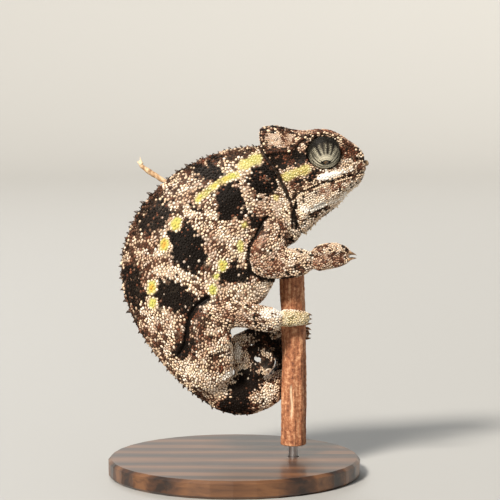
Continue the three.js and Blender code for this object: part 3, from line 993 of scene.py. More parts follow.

# The cream patches of the body, together with painted light where noted below.
CREAMS_AND_PAINTED_LIGHT = lines(
    FLANKS,
    (2.0, 1.0, (13.5, 29.4), (8.4, 27.6), (5.4, 27.4)),
    (1.7, 0.9, (-4.0, 16.3), (2.4, 15.0)),
    (2.0, 0.85, (-10.6, 2.4), (-3.0, 0.4)),
    (1.3, 0.8, (10.8, 20.6), (11.3, 16.4)),
    (1.4, 0.6, (6.6, 10.0), (9.6, 5.6)),
    (2.2, 0.8, (9.0, -3.2), (15.0, -2.6)),
    (1.6, 0.7, (-8.6, 23.4), (-5.4, 25.0)),
    (1.6, 0.35, (-9.2, 20.6), (-5.0, 22.4)),
) + lines(
    THIGHS,
    (1.0, 0.9, (5.2, -15.6), (6.8, -17.8)),
) + lines(
    ("neck",),
    (0.9, 0.8, (19.3, 23.3), (21.2, 20.4), (21.0, 17.2), (20.2, 13.4)),
) + lines(
    ("neck", "trunk"),
    (1.1, 1.0, (20.4, 12.9), (24.4, 9.2)),
) + lines(
    TAIL,
    # Painted light: the sunlit lobe of the coil and the lit side of the tail's base, made paler than the
    # tail's own colour.
    (1.7, 1.0, (9.8, -15.4), (8.0, -17.2), (8.2, -20.6), (9.0, -23.4)),
    (2.0, 0.75, (17.6, -24.6), (16.6, -28.6), (14.4, -32.6)),
) + lines(
    LIMBS,
    (2.0, 0.55, (17.6, -10.4), (26.6, -11.0)),
    (2.4, 0.6, (-12.8, -22.0), (-4.0, -27.0)),
) + lines(
    (*LIMBS, "tail_1"),
    (3.2, 0.75, (-3.6, -22.4), (3.0, -27.6)),
) + lines(
    FACE,
    (2.3, 0.8, (-10.3, 5.8), (-7.1, 6.2)),
    (1.3, 0.6, (3.3, -1.2), (9.1, 1.0)),
    (1.2, 0.6, (0.1, -8.8), (3.7, -6.6)),
    (0.9, 1.0, (-2.7, -10.6), (3.6, -9.2), (7.6, -7.0), (12.7, -3.6)),
)

# The pure whites of the skin, together with painted highlights where noted below.
WHITES_AND_HIGHLIGHTS = lines(
    FACE,
    (1.2, 0.96, (1.5, -3.2), (5.4, -2.4)),
    (0.6, 0.86, (5.9, -2.1), (9.6, -0.6)),
    # Along the lower jaw: its white scales, brightened further as a painted highlight.
    (0.95, 0.93, (-2.3, -11.2), (3.0, -10.0)),
    (0.5, 0.88, (3.6, -9.6), (8.4, -7.8)),
    (0.5, 0.88, (10.4, -6.4), (12.9, -4.4)),
    (0.6, 0.8, (-1.8, -5.4)),
) + lines(
    (*FACE, "neck"),
    (0.4, 0.88, (-2.6, -15.6), (-1.2, -14.2)),
) + lines(
    TAIL,
    # Painted light on the sunlit lobe of the coil.
    (1.0, 0.84, (8.2, -17.4), (8.4, -20.6)),
) + lines(
    FLANKS,
    (0.4, 0.8, (15.2, 17.8), (15.1, 16.6)),
) + lines(
    LIMBS,
    # Painted highlight: the sheen along the top of the hind shin by the ankle.
    (1.3, 0.88, (15.0, -8.8), (19.0, -8.9)),
    (0.9, 0.84, (4.8, -24.2), (7.0, -23.2)),
)

BEADS = lines(
    FACE,
    # The casque's rim, its hind edge and side crest, and the brow down to the snout.
    (0.42, 0.8, (-11.9, 8.0), (-9.8, 8.6), (-7.9, 8.4), (-5.3, 7.7)),
    (0.38, 0.7, (-12.3, 7.4), (-12.3, 5.4), (-11.7, 3.4)),
    (0.42, 0.7, (-11.3, 2.9), (-8.7, 3.3), (-6.1, 3.3), (-4.4, 4.9), (-2.7, 6.3), (-1.0, 7.1)),
    (0.38, 0.7, (-4.9, 5.8), (-3.6, 6.7)),
    (0.36, 0.65, (0.5, 7.5), (3.0, 7.9), (5.6, 6.9), (7.6, 5.5), (9.3, 4.6), (11.6, 2.9), (12.9, 1.5)),
    # The lips.
    (0.25, 0.25, (-3.7, -6.6), (1.8, -4.3), (6.8, -2.8), (12.9, -1.4)),
    (0.27, 0.2, (-3.5, -7.6), (2.0, -5.4), (7.0, -3.9), (12.5, -2.5)),
)


@dataclass(frozen=True)
class Tone:
    """The ground colour of a part of the body, as shares of pigment.

    Attributes:
        pale: How much of it is cream.
        warm: How much of it is rust.
        dots: How many of its scales are black.
    """

    pale: float
    warm: float
    dots: float


TONES = {
    "head": Tone(0.68, 0.55, 0.11),
    "lower_jaw": Tone(1.0, 0.28, 0.12),
    "neck": Tone(0.9, 0.4, 0.06),
    "trunk": Tone(0.8, 0.55, 0.05),
    "upper": Tone(0.76, 0.6, 0.07),
    "lower": Tone(0.85, 0.42, 0.1),
    "toes": Tone(0.84, 0.3, 0.15),
    "tail": Tone(0.66, 0.45, 0.1),
}
PIGMENTS = ("pale", "rust", "yellow", "black")
# The share of pale that stands for pure white.
PURE = 1.25
# The way that scales lie on the face.
FACE_LIE = (-1.0, 0, -0.3)


def kind_of(part: str) -> str:
    """The kind of part that a part of the body is, such as "toes"."""
    return next((kind for kind in TONES if kind in part), part)


class Markings:
    """The pattern of the animal, with painted shade and painted light laid into it, the same for the skin
    and the scales on it.

    Attributes:
        back_reach: How far the dark of the back reaches down the sides.
        halo: How far the pale rim of a yellow spot reaches past it.
    """

    back_reach = 7.0
    halo = 0.45

    def __init__(self, back: Array) -> None:
        """Takes the line of the back.

        Args:
            back: Points along the back, from the neck to the tail.
        """
        self.back = back

    def from_back(self, places: Array) -> Array:
        """Measures how far each place is from the line of the back.

        Args:
            places: Points in millimetres.

        Returns:
            One distance for each.
        """
        nearest = np.full(len(places), np.inf)
        for point in self.back:
            nearest = np.minimum(nearest, np.linalg.norm(places - point, axis=1))
        return nearest

    @staticmethod
    def drift(places: Array, size: float, shifts: tuple[float, float, float]) -> Array:
        """A smooth offset for each place, of half a millimetre at most along each axis."""
        return np.stack([MOTTLE.at(places, size, shift) for shift in shifts], axis=1) - 0.5

    def paint(self, places: Array, parts: Array, crease: Array) -> Shares:
        """Gives each place its shares of pigment.

        Args:
            places: Points on the skin.
            parts: The number of the part that each is on.
            crease: How deep in a fold each lies, from 0 to 1.

        Returns:
            The shares of the four pigments by name, from 0 to 1; pure white is pale over 1.
        """
        pale, warm, dots = np.array([astuple(TONES[kind_of(part)]) for part in FLESH])[parts].T
        wander = self.drift(places, 1.3, (3.3, 7.1, 11.7))
        finer = self.drift(places, 0.6, (1.3, 5.1, 9.7))
        ragged = places + 2.2 * wander + 2.4 * finer
        even = places + 0.5 * wander + 0.4 * finer
        black = np.maximum(self.laid(BLOTCHES_AND_SHADES, ragged, parts), self.laid(FOLD_SHADOWS, even, parts))
        yellow = self.laid(YELLOWS, even, parts)
        halo = self.laid(YELLOWS, even, parts, self.halo)
        core = self.laid(CORES, places, parts)
        umber = self.laid(UMBERS, ragged, parts)
        cream = self.laid(CREAMS_AND_PAINTED_LIGHT, ragged, parts)
        white = self.laid(WHITES_AND_HIGHLIGHTS, places + 1.1 * wander + 1.0 * finer, parts)
        mottle = 0.5 * MOTTLE.at(places, 2.1) + 0.5 * MOTTLE.at(places, 0.9, 5.5)
        back = smoothstep(self.back_reach, 1.5, self.from_back(places)) * (parts >= FLESH.index("neck"))
        pale = pale + 1.3 * (mottle - 0.5) - 0.55 * back + 0.34 * cream - 0.45 * umber
        warmth = 0.5 * MOTTLE.at(places, 2.6, 9.1) + 0.5 * MOTTLE.at(places, 1.1, 2.2)
        rust = warm * smoothstep(0.35, 0.65, warmth)
        rust = rust * (1 - 0.7 * cream) * (1 - 0.5 * back) + 0.9 * umber
        dusk = smoothstep(0.46, 0.7, MOTTLE.at(places, 2.2, 4.4) + 0.14 * back)
        black = np.maximum(black, (0.35 + 0.4 * back) * dusk * (1 - 0.7 * cream))
        black = np.maximum(black, 0.9 * (MOTTLE.at(places, 0.55, 6.6) < dots * 1.6))
        black = black * (1 - 0.6 * umber) * (1 - np.maximum(halo, white))
        # In the folds, black set by their depth is painted shade, and the yellow fades out there under it.
        return {
            "pale": np.clip(np.maximum.reduce([np.minimum(pale, 1), halo, white * PURE]), 0, PURE),
            "rust": np.clip(np.maximum(rust * (1 - halo), core) * (1 - white), 0, 1),
            "yellow": np.clip(yellow * (1 - crease), 0, 1),
            "black": np.clip(np.maximum(black, 0.95 * crease), 0, 1),
        }

    @staticmethod
    def laid(table: tuple[Line, ...], places: Array, parts: Array, grow: float = 0.0) -> Array:
        """The strongest cover that any line of a table gives each place."""
        return np.maximum.reduce([line.cover(places, parts, grow=grow) for line in table])


# ---------- reptile finishes


@dataclass(frozen=True)
class ScaledSkin(Finish):
    """Dry reptile skin: horny scales with a dull gloss, dark in the furrows between them, with painted shade
    up the foot of each scale.

    Attributes:
        name: The material's name.
        furrow: The skin between the scales.
        cream: The pale pigment.
        white: The pale pigment where it is purest.
        rust: The brown-red pigment.
        yellow: The yellow pigment.
        ember: Yellow over rust.
        black: The dark pigment.
        roughness: The mean roughness of a scale.
    """

    name: str = "reptile_skin"
    furrow: str = "#3c2214"
    cream: str = "#ffe4c2"
    white: str = "#fffaf0"
    rust: str = "#8a5139"
    yellow: str = "#c0bf64"
    ember: str = "#cf9a3a"
    black: str = "#110a05"
    roughness: float = 0.55

    def dress(self, tree: NodeTree, shader: Node) -> None:
        """Mixes the pigments over the furrow's colour, paler towards the crown of each scale, so that each
        scale's foot carries painted shade.
        """
        share = {}
        for name in (*PIGMENTS, "crown"):
            share[name] = add_node(tree, "Attribute", {"attribute_name": name}).outputs["Fac"]
        place = add_node(tree, "TexCoord", {}).outputs["Object"]
        noise = {"Scale": 1 / (0.35 * MM), "Detail": 3.0, "Vector": place}
        grain = add_node(tree, "TexNoise", noise).outputs["Fac"]
        # The furrow's colour (the dark skin between the scales) climbs up the foot of each scale as painted
        # shade, less under yellow and not under white.
        climb = {"From Min": 0.02, "From Max": 0.42, "To Min": 0.04, "Value": share["crown"]}
        lift = add_node(tree, "MapRange", {"interpolation_type": "SMOOTHSTEP", **climb}).outputs["Result"]
        stained = {"From Min": 0.04, "To Min": 0.88, "Value": lift}
        stain = add_node(tree, "MapRange", stained).outputs["Result"]
        white = {"operation": "MULTIPLY_ADD", "use_clamp": True, 0: share["pale"], 1: 2.0, 2: -1.7}
        whole = add_node(tree, "Math", white).outputs[0]
        cover = add_node(tree, "Math", {"operation": "MAXIMUM", 0: lift, 1: whole}).outputs[0]
        purest = {"From Min": 0.98, "From Max": 1.2, "Value": share["pale"]}
        pure = add_node(tree, "MapRange", purest).outputs["Result"]
        pales = {"data_type": "RGBA", 0: pure, 6: linear(self.cream), 7: linear(self.white)}
        ambers = {"data_type": "RGBA", 0: share["rust"], 6: linear(self.yellow), 7: linear(self.ember)}
        layers = (
            ("pale", cover, add_node(tree, "Mix", pales).outputs[2]),
            ("rust", lift, linear(self.rust)),
            ("yellow", stain, add_node(tree, "Mix", ambers).outputs[2]),
            ("black", None, linear(self.black)),
        )
        colour = linear(self.furrow)
        for name, lifted, pigment in layers:
            amount = share[name]
            if lifted:
                given = {"operation": "MULTIPLY", "use_clamp": True, 0: amount, 1: lifted}
                amount = add_node(tree, "Math", given).outputs[0]
            given = {"data_type": "RGBA", 0: amount, 6: colour, 7: pigment}
            colour = add_node(tree, "Mix", given).outputs[2]
        varied = {"From Min": 0.3, "From Max": 0.7, "To Min": 0.86, "To Max": 1.12, "Value": grain}
        tint = {"Color": colour, "Value": add_node(tree, "MapRange", varied).outputs["Result"]}
        gloss = {"To Min": self.roughness - 0.12, "To Max": self.roughness + 0.12, "Value": grain}
        bump = {"Strength": 0.35, "Distance": 0.03 * MM, "Height": grain}
        surface = {
            "Base Color": add_node(tree, "HueSaturation", tint).outputs["Color"],
            "Roughness": add_node(tree, "MapRange", gloss).outputs["Result"],
            "Normal": add_node(tree, "Bump", bump).outputs["Normal"],
            "Specular IOR Level": 0.14,
        }
        set_up(tree, shader, surface)


# ---------- the coat of scales


class ScaleKind(Enum):
    """The kinds of scale: how many sides, the shoulder's width and height, and the crown's height."""

    TUBERCLE = (8, 0.70, 0.36, 0.20)
    SCUTE = (7, 0.62, 0.30, 0.18)
    GRANULE = (6, 0.45, 0.30, 0.10)
    BEAD = (9, 0.78, 0.55, 0.28)


@dataclass
class ScaleForm:
    """One scale's own shape, for a root radius of one, and its patch on the map."""

    kind: ScaleKind
    sunk: float = 0.35
    patch: float = 0.0014

    def __post_init__(self) -> None:
        """Shapes the scale: a closed low cone with a rounded shoulder and a crown."""
        sides, shoulder, rise, crown = self.kind.value
        bm = bmesh.new()
        height = rise + self.sunk
        bmesh.ops.create_cone(bm, cap_ends=True, segments=sides, radius1=1, radius2=shoulder, depth=height)
        bmesh.ops.translate(bm, vec=(0, 0, height / 2 - self.sunk), verts=bm.verts)
        top = max(bm.faces, key=lambda face: face.calc_center_median().z)
        bmesh.ops.poke(bm, faces=[top], offset=crown)
        bmesh.ops.triangulate(bm, faces=bm.faces)
        self.points = np.array([vert.co for vert in bm.verts])
        self.faces = np.array([[vert.index for vert in face.verts] for face in bm.faces])
        bm.free()
        self.crown = np.clip((self.points[:, 2] + 0.1) / (rise + crown + 0.1), 0, 1)
        corners = self.points[self.faces]
        under = (corners[..., 2].max(axis=1) < 0)[:, None, None]
        self.map = np.where(under, corners[..., :2] * 0.12 + 0.85, corners[..., :2] * 0.8) * self.patch


class Crowd:
    """Grows points apart from each other, each with a radius of its own."""

    def __init__(self, cell: float) -> None:
        """Starts empty.

        Args:
            cell: The widest distance at which two points can touch.
        """
        self.cell = cell
        self.cells: dict[tuple[int, int, int], list[tuple[float, float, float, float]]] = defaultdict(list)

    def admit(self, places: Array, radii: Array, closeness: float) -> list[int]:
        """Takes in each point that has room, in turn.

        Args:
            places: The points.
            radii: Their radii.
            closeness: The least distance, as a share of two radii together.

        Returns:
            The numbers of the points that were taken in.
        """
        kept = []
        corners = [tuple(np.subtract(corner, 1)) for corner in np.ndindex(3, 3, 3)]
        homes = np.floor(places / self.cell).astype(int).tolist()
        for number, (place, radius, (i, j, k)) in enumerate(zip(places.tolist(), radii.tolist(), homes)):
            around = [(i + a, j + b, k + c) for a, b, c in corners]
            if self.free(place, radius * closeness, closeness, around):
                self.cells[i, j, k].append((*place, radius))
                kept.append(number)
        return kept

    def free(self, place: list[float], reach: float, closeness: float, around: list) -> bool:
        """Looks whether a point has room.

        Args:
            place: The point.
            reach: Its radius, times the closeness.
            closeness: The least distance, as a share of two radii together.
            around: The cells that the others in its way can be in.

        Returns:
            Whether none of the others is too close.
        """
        x, y, z = place
        for home in around:
            for ox, oy, oz, other in self.cells.get(home, ()):
                gap = reach + other * closeness
                if (x - ox) ** 2 + (y - oy) ** 2 + (z - oz) ** 2 < gap * gap:
                    return False
        return True


@dataclass
class Scales:
    """Scales that wait to be joined into a piece: where each grows and how it is turned.

    Attributes:
        roots: Where they grow.
        normals: Where each points, of any length.
        lie: The way that each leans, of any length.
        radii: The radius of each at its root.
        heights: How high each is for a height of one in its form.
        map_roots: The place of each on the map.
        pigments: Shares of pigment by name, one for each scale.
    """

    roots: Array
    normals: Array
    lie: Array
    radii: Array
    heights: Array
    map_roots: Array
    pigments: Shares

    def some(self, chosen: Array) -> "Scales":
        """Picks some of the scales.

        Args:
            chosen: Their numbers.

        Returns:
            Only those.
        """
        pigments = {name: values[chosen] for name, values in self.pigments.items()}
        arrays = (self.roots, self.normals, self.lie, self.radii, self.heights, self.map_roots)
        return Scales(*(values[chosen] for values in arrays), pigments)

    def shaped(self, form: ScaleForm, rng: np.random.Generator) -> dict[str, Array]:
        """Gives every scale its shape.

        Args:
            form: The shape of one scale.
            rng: Draws the small turns and stretches.

        Returns:
            Points, faces, map places and attributes of all of them, as arrays.
        """
        count = len(self.roots)
        size = len(form.points)
        normals = unit(self.normals)
        along = unit(self.lie - (self.lie * normals).sum(axis=1)[:, None] * normals)
        across = np.cross(normals, along)
        turn = rng.normal(0, 0.25, count)[:, None]
        ahead = np.cos(turn) * along + np.sin(turn) * across
        beside = np.cos(turn) * across - np.sin(turn) * along
        x, y, z = form.points.T
        lean = 0.22 * np.maximum(z, 0)
        stretch = rng.uniform(0.94, 1.34, count)[:, None]
        wide = self.radii[:, None]
        high = self.heights[:, None]
        points = self.roots[:, None] + (
            (wide * stretch * (x + lean))[..., None] * ahead[:, None]
            + (wide / stretch * y)[..., None] * beside[:, None]
            + (high * z)[..., None] * normals[:, None]
        )
        faces = form.faces[None] + (np.arange(count) * size)[:, None, None]
        places = np.clip(self.map_roots[:, None, None] + form.map[None], 0, 1)
        shaped = {name: np.repeat(share, size) for name, share in self.pigments.items()}
        shaped["crown"] = np.tile(form.crown, count)
        shaped["points"] = points.reshape(-1, 3)
        shaped["faces"] = faces.reshape(-1, 3)
        shaped["map"] = places.reshape(-1, 2)
        return shaped


def join_scales(batches: list[dict[str, Array]]) -> Mesh:
    """Joins batches of shaped scales into one mesh with its attributes and its map.

    Args:
        batches: What Scales.shaped gave for each kind.

    Returns:
        The mesh.
    """
    starts = np.cumsum([0] + [len(batch["points"]) for batch in batches])
    points = np.concatenate([batch["points"] for batch in batches])
    faces = np.concatenate([batch["faces"] + start for batch, start in zip(batches, starts)])
    mesh = bpy.data.meshes.new("scales")
    mesh.vertices.add(len(points))
    mesh.vertices.foreach_set("co", points.ravel())
    mesh.loops.add(faces.size)
    mesh.loops.foreach_set("vertex_index", faces.ravel())
    mesh.polygons.add(len(faces))
    mesh.polygons.foreach_set("loop_start", np.arange(0, faces.size, 3))
    mesh.update(calc_edges=True)
    layer = mesh.uv_layers.new(name="OFBake")
    layer.data.foreach_set("uv", np.concatenate([batch["map"] for batch in batches]).ravel())
    for name in (*PIGMENTS, "crown"):
        put_share(mesh, name, np.concatenate([batch[name] for batch in batches]))
    mesh.shade_smooth()
    return mesh


def put_share(mesh: Mesh, name: str, values: Array) -> None:
    """Writes one number for each point of a mesh under a name."""
    mesh.attributes.new(name, "FLOAT", "POINT").data.foreach_set("value", values.astype(np.float32))


@dataclass
class Picks:
    """Places picked by chance on the skin's triangles.

    Attributes:
        faces: The number of the triangle that each is in.
        corners: The three points round each.
        weights: How much each of those points counts.
    """

    faces: Array
    corners: Array
    weights: Array

    def some(self, chosen: Array) -> "Picks":
        """Only the chosen places."""
        return Picks(self.faces[chosen], self.corners[chosen], self.weights[chosen])

    def at(self, values: Array) -> Array:
        """The skin's values at the places, from one number or row for each of its points."""
        weights = self.weights.reshape(*self.weights.shape, *[1] * (values.ndim - 1))
        return (values[self.corners] * weights).sum(axis=1)


@dataclass
class Coat:
    """The scales over the whole skin.

    Attributes:
        shape: The skin that they grow on.
        markings: The animal's pattern.
        bare: Places where none grow, with their radii: the seats of the eye turrets.
        rounds: The kinds of scale, largest first, with their share of the full radius and how many places
            are tried.
        closeness: The least distance between two roots, as a share of their radii together.
        fill: How much wider a scale is than the room that it keeps.
        tight: How deep in a fold only granules grow.
        full_radius: The radius of a full scale on each part of the body.
        dark_share: How many scales of each kind are dark where the skin is neither pale nor black.
    """

    shape: SkinShape
    markings: Markings
    bare: list[tuple[Array, float]]
    rounds: tuple = (
        (ScaleKind.TUBERCLE, 1.0, 140000),
        (ScaleKind.SCUTE, 0.66, 200000),
        (ScaleKind.GRANULE, 0.42, 320000),
    )
    closeness: float = 0.96
    fill: float = 1.13
    tight: float = 0.45

    full_radius = {
        "head": 0.27,
        "lower_jaw": 0.26,
        "neck": 0.32,
        "trunk": 0.365,
        "upper": 0.33,
        "lower": 0.3,
        "toes": 0.23,
        "tail_1": 0.32,
        "tail_2": 0.3,
        "tail_3": 0.27,
        "tail_4": 0.24,
        "tail_5": 0.2,
    }
    dark_share = {ScaleKind.TUBERCLE: 0.1, ScaleKind.SCUTE: 0.28, ScaleKind.GRANULE: 0.6}

    def radii(self) -> Array:
        """Sets the radius of a full scale, blended from part to part and finer on the casque's panel.

        Returns:
            One radius for each point of the skin.
        """
        sizes = [next(size for kind, size in self.full_radius.items() if kind in part) for part in FLESH]
        radius = self.shape.average(np.array(sizes)[self.shape.parts], rounds=12)
        panel = Line("head", ((-10.5, 5.8), (-6.9, 6.2)), 1.6, 0.3, FACE)
        return radius * (1 - panel.cover(self.shape.places, self.shape.parts, 1.0))

    def lies(self) -> Array:
        """Finds the way that the scales lie: down the body, each leg and the tail.

        Returns:
            One direction for each point of the skin.
        """
        places = self.shape.places
        lie = np.zeros_like(places)
        belly = middle("perch_stem") + np.array([-7.0, 0, 18.0])
        arm = places - belly
        round_back = np.stack([-arm[:, 2], np.zeros(len(arm)), arm[:, 0]], axis=1)
        for number, part in enumerate(FLESH):
            here = self.shape.parts == number
            if part in ("trunk", "neck"):
                lie[here] = round_back[here]
            elif part in FACE:
                lie[here] = FACE_LIE
            else:
                own = places[here] - places[here].mean(axis=0)
                lie[here] = np.linalg.svd(own, full_matrices=False)[2][0] if len(own) > 3 else (1, 0, 0)
        return unit(self.shape.average(lie, rounds=6))

    @staticmethod
    def pick(corners: Array, reach: Array, count: int, rng: np.random.Generator) -> Picks:
        """Picks places on the skin by chance.

        Args:
            corners: The corners of the skin's triangles.
            reach: The running total of the triangles' chances.
            count: How many places it picks.
            rng: Draws them.

        Returns:
            The places.
        """
        faces = np.searchsorted(reach, rng.random(count) * reach[-1])
        first = np.sqrt(rng.random(count))
        second = rng.random(count)
        weights = np.stack([1 - first, first * (1 - second), first * second], axis=1)
        return Picks(faces, corners[faces], weights)

    def grow(self) -> list[tuple[ScaleKind, Scales, Array]]:
        """Lets scales of each kind take root, the largest first.

        Returns:
            Each kind with its scales and the number of the part that each is on.
        """
        rng = np.random.default_rng(SEED)
        shape = self.shape
        radius = self.radii()
        lie = self.lies()
        corners, map_corners, areas = shape.triangles()
        reach = np.cumsum(areas * (np.maximum(radius[corners].mean(axis=1), 0.1) ** -2))
        crowd = Crowd(2 * radius.max())
        grown = [self.beads(crowd, corners, map_corners, rng)]
        for kind, share, tries in self.rounds:
            picks = self.pick(corners, reach, tries, rng)
            roots = picks.at(shape.places)
            crease = picks.at(shape.crease)
            size = picks.at(radius) * share * rng.uniform(0.78, 1.14, tries)
            if kind is not ScaleKind.GRANULE:
                size[crease > self.tight] = np.inf
            for place, bald in self.bare:
                size[np.linalg.norm(roots - place, axis=1) < bald] = np.inf
            tried = np.nonzero(np.isfinite(size))[0]
            kept = tried[crowd.admit(roots[tried], size[tried], self.closeness)]
            picks = picks.some(kept)
            roots = roots[kept]
            size = size[kept]
            parts = shape.parts[picks.corners[:, 0]]
            pigments = self.markings.paint(roots, parts, crease[kept])
            self.shade(kind, roots, pigments, rng)
            height = size * self.rise(roots, parts) * rng.uniform(0.8, 1.2, len(kept))
            map_roots = (map_corners[picks.faces] * picks.weights[..., None]).sum(axis=1)
            turned = (picks.at(shape.normals), picks.at(lie))
            scales = Scales(roots, *turned, size * self.fill, height, map_roots, pigments)
            grown.append((kind, scales, parts))
            LOG.info("%s: %d scales took root", kind.name.lower(), len(kept))
        return grown

    def beads(
        self, crowd: Crowd, corners: Array, map_corners: Array, rng: np.random.Generator
    ) -> tuple[ScaleKind, Scales, Array]:
        """Sets the rows of large beads on the head's ridges, on both sides.

        Args:
            crowd: The scales so far, which the beads join.
            corners: The corners of the skin's triangles.
            map_corners: Their places on the map.
            rng: Draws the differences.

        Returns:
            The kind of scale, the beads and the number of the part that each is on.
        """
        tree = BVHTree.FromPolygons([Vector(place) for place in self.shape.places], corners.tolist())
        centre = middle("head")[1]
        found = []
        for line in BEADS:
            for x, z in line.walk(2.1 * line.half):
                for way in (1, -1):
                    start = Vector((x, centre - 30 * way, z))
                    place, normal, face, _ = tree.ray_cast(start, Vector((0, way, 0)))
                    if place is not None:
                        found.append((*place, *normal, face, line.half, line.amount))
        rows = np.array(found)
        radius = rows[:, 7] * rng.uniform(0.85, 1.1, len(rows))
        kept = crowd.admit(rows[:, :3], radius, 0.75)
        rows = rows[kept]
        radius = radius[kept]
        roots, normals = rows[:, :3], rows[:, 3:6]
        face = rows[:, 6].astype(int)
        parts = self.shape.parts[corners[face, 0]]
        pigments = self.markings.paint(roots, parts, np.zeros(len(rows)))
        # Along the head's ridges the pale beads are painted glints of light on the dark beads; on the lips
        # they are the pale lip scales.
        dark = rng.random(len(rows)) < rows[:, 8]
        pigments["pale"] = np.where(dark, 0.1, rng.uniform(0.75, 1.0, len(rows)))
        pigments["black"] = np.where(dark, rng.uniform(0.55, 0.9, len(rows)), 0)
        pigments["rust"] = np.where(dark, 0.7, 0.1)
        lie = np.tile(FACE_LIE, (len(rows), 1))
        scales = Scales(roots, normals, lie, radius, radius * 1.05, map_corners[face].mean(axis=1), pigments)
        return ScaleKind.BEAD, scales, parts

    def rise(self, roots: Array, parts: Array) -> Array:
        """Sets how high scales stand: most along the back and in the neck's bristly blotch.

        Args:
            roots: Where they grow.
            parts: The number of the part that each is on.

        Returns:
            The height of each for its width.
        """
        bristle = Line("trunk", ((14.4, 25.6), (14.9, 24.2)), 3.2).cover(roots, parts, 2.0)
        back = smoothstep(5.0, 1.0, self.markings.from_back(roots))
        return 0.95 + 1.3 * bristle * (parts >= FLESH.index("neck")) + 0.5 * back

    def shade(
        self, kind: ScaleKind, roots: Array, pigments: Shares, rng: np.random.Generator
    ) -> None:
        """Varies the pigments from scale to scale, in short runs: the small ones between are darker, and a
        few black scales are left paler as painted glints.

        Args:
            kind: The kind of scale.
            roots: Where the scales grow.
            pigments: The shares, which are changed.
            rng: Draws the differences.
        """
        count = len(roots)
        runs = MOTTLE.at(roots, 0.62, 12.3) + MOTTLE.at(roots, 1.1, 8.7) + 0.55 * rng.random(count)
        draw = np.argsort(np.argsort(runs)) / max(count, 1)
        pale, black, yellow = pigments["pale"], pigments["black"], pigments["yellow"]
        solid = black + rng.normal(0, 0.13, count) > 0.74
        chance = self.dark_share[kind] + 0.8 * (0.66 - pale) + 0.75 * black
        chance = np.clip(chance, 0.03, 0.96) * (1 - 0.85 * yellow)
        white = pale > 1.02
        dark = draw < np.where(white, 0.04, chance)
        light = np.clip(0.5 + 0.6 * pale + rng.normal(0, 0.16, count), 0, 1.1)
        light = np.where(white, PURE, light)
        pigments["pale"] = np.where(dark, rng.uniform(0.02, 0.25, count), light)
        rust = pigments["rust"] + np.where(dark, 0.3, 0) + rng.normal(0, 0.12, count)
        pigments["rust"] = np.clip(rust, 0, 1)
        deep = np.where(dark, rng.uniform(0.15, 0.85, count), 0)
        # A few black scales keep only part of their black: painted glints of light on the dark scales.
        glinting = rng.random(count) < 0.06
        full = np.clip(1.35 * black * rng.uniform(0.9, 1.05, count), 0, 1) * np.where(glinting, 0.3, 1)
        pigments["black"] = np.clip(np.maximum(np.where(solid, full, 0.3 * black), deep), 0, 1)

    def build(self) -> None:
        """Makes the coat's pieces, one for each region of the body on each side."""
        rng = np.random.default_rng(SEED + 1)
        forms = {kind: ScaleForm(kind) for kind in ScaleKind}
        grown = self.grow()
        centre = middle("head")[1]
        legs = (*UPPER_LEGS, *LOWER_LEGS, *FEET)
        for region, parts in {"head": FACE, "flank": ("trunk", "neck"), "legs": legs, "tail": TAIL}.items():
            numbers = [FLESH.index(part) for part in parts]
            for side in SIDES:
                batches = []
                for kind, scales, homes in grown:
                    beside = (scales.roots[:, 1] < centre) == (side == "near")
                    chosen = np.nonzero(np.isin(homes, numbers) & beside)[0]
                    batches.append(scales.some(chosen).shaped(forms[kind], rng))
                hand_in(f"scales_{region}_{side}", join_scales(batches), ScaledSkin())


# ---------- horn, claws and eyes


def draw_out(bm: BMesh, centres: list[Vector], radii: list[float], sides: int) -> None:
    """Draws a ring of points out along a line into a closed round form.

    Args:
        bm: The bmesh that it joins.
        centres: The middle of each ring.
        radii: The radius of each ring.
        sides: How many points a ring has.
    """
    ring = bmesh.ops.create_circle(bm, segments=sides, radius=1)["verts"]
    loop = list({edge for vert in ring for edge in vert.link_edges})
    runs = [(b - a).normalized() for a, b in zip(centres, centres[1:])]
    ways = [runs[0], *[(a + b).normalized() for a, b in zip(runs, runs[1:])], runs[-1]]
    turn = Vector((0, 0, 1)).rotation_difference(ways[0])
    here = Matrix.LocRotScale(centres[0], turn, Vector.Fill(3, radii[0]))
    bmesh.ops.transform(bm, matrix=here, verts=ring)
    first = loop
    for centre, radius, way, before in zip(centres[1:], radii[1:], ways[1:], ways):
        loop, ring = drawn_ring(bm, loop)
        turn = before.rotation_difference(way) @ turn
        after = Matrix.LocRotScale(centre, turn, Vector.Fill(3, radius))
        bmesh.ops.transform(bm, matrix=after @ here.inverted(), verts=ring)
        here = after
    bmesh.ops.holes_fill(bm, edges=first + loop, sides=0)
    bmesh.ops.recalc_face_normals(bm, faces=bm.faces)


def drawn_ring(bm: BMesh, loop: list) -> tuple[list, list]:
    """Extrudes a ring of edges.

    Args:
        bm: The bmesh.
        loop: The ring's edges.

    Returns:
        The new ring's edges and its points.
    """
    made = bmesh.ops.extrude_edge_only(bm, edges=loop)["geom"]
    edges = [part for part in made if isinstance(part, BMEdge)]
    return edges, [part for part in made if isinstance(part, BMVert)]


def horn(bm: BMesh, root: Vector, tip: Vector, radius: float, sag: Vector, sides: int = 8) -> None:
    """Grows one curved horn that tapers to a blunt point.

    Args:
        bm: The bmesh that it joins.
        root: The middle of its root.
        tip: Its tip.
        radius: The radius of its root.
        sag: How far its middle leans out of the straight line.
        sides: How many sides it has.
    """
    shares = [step / 6 for step in range(7)]
    centres = [root.lerp(tip, share) + sag * (4 * share * (1 - share)) for share in shares]
    draw_out(bm, centres, [radius * (1 - 0.97 * share**1.25) for share in shares], sides)


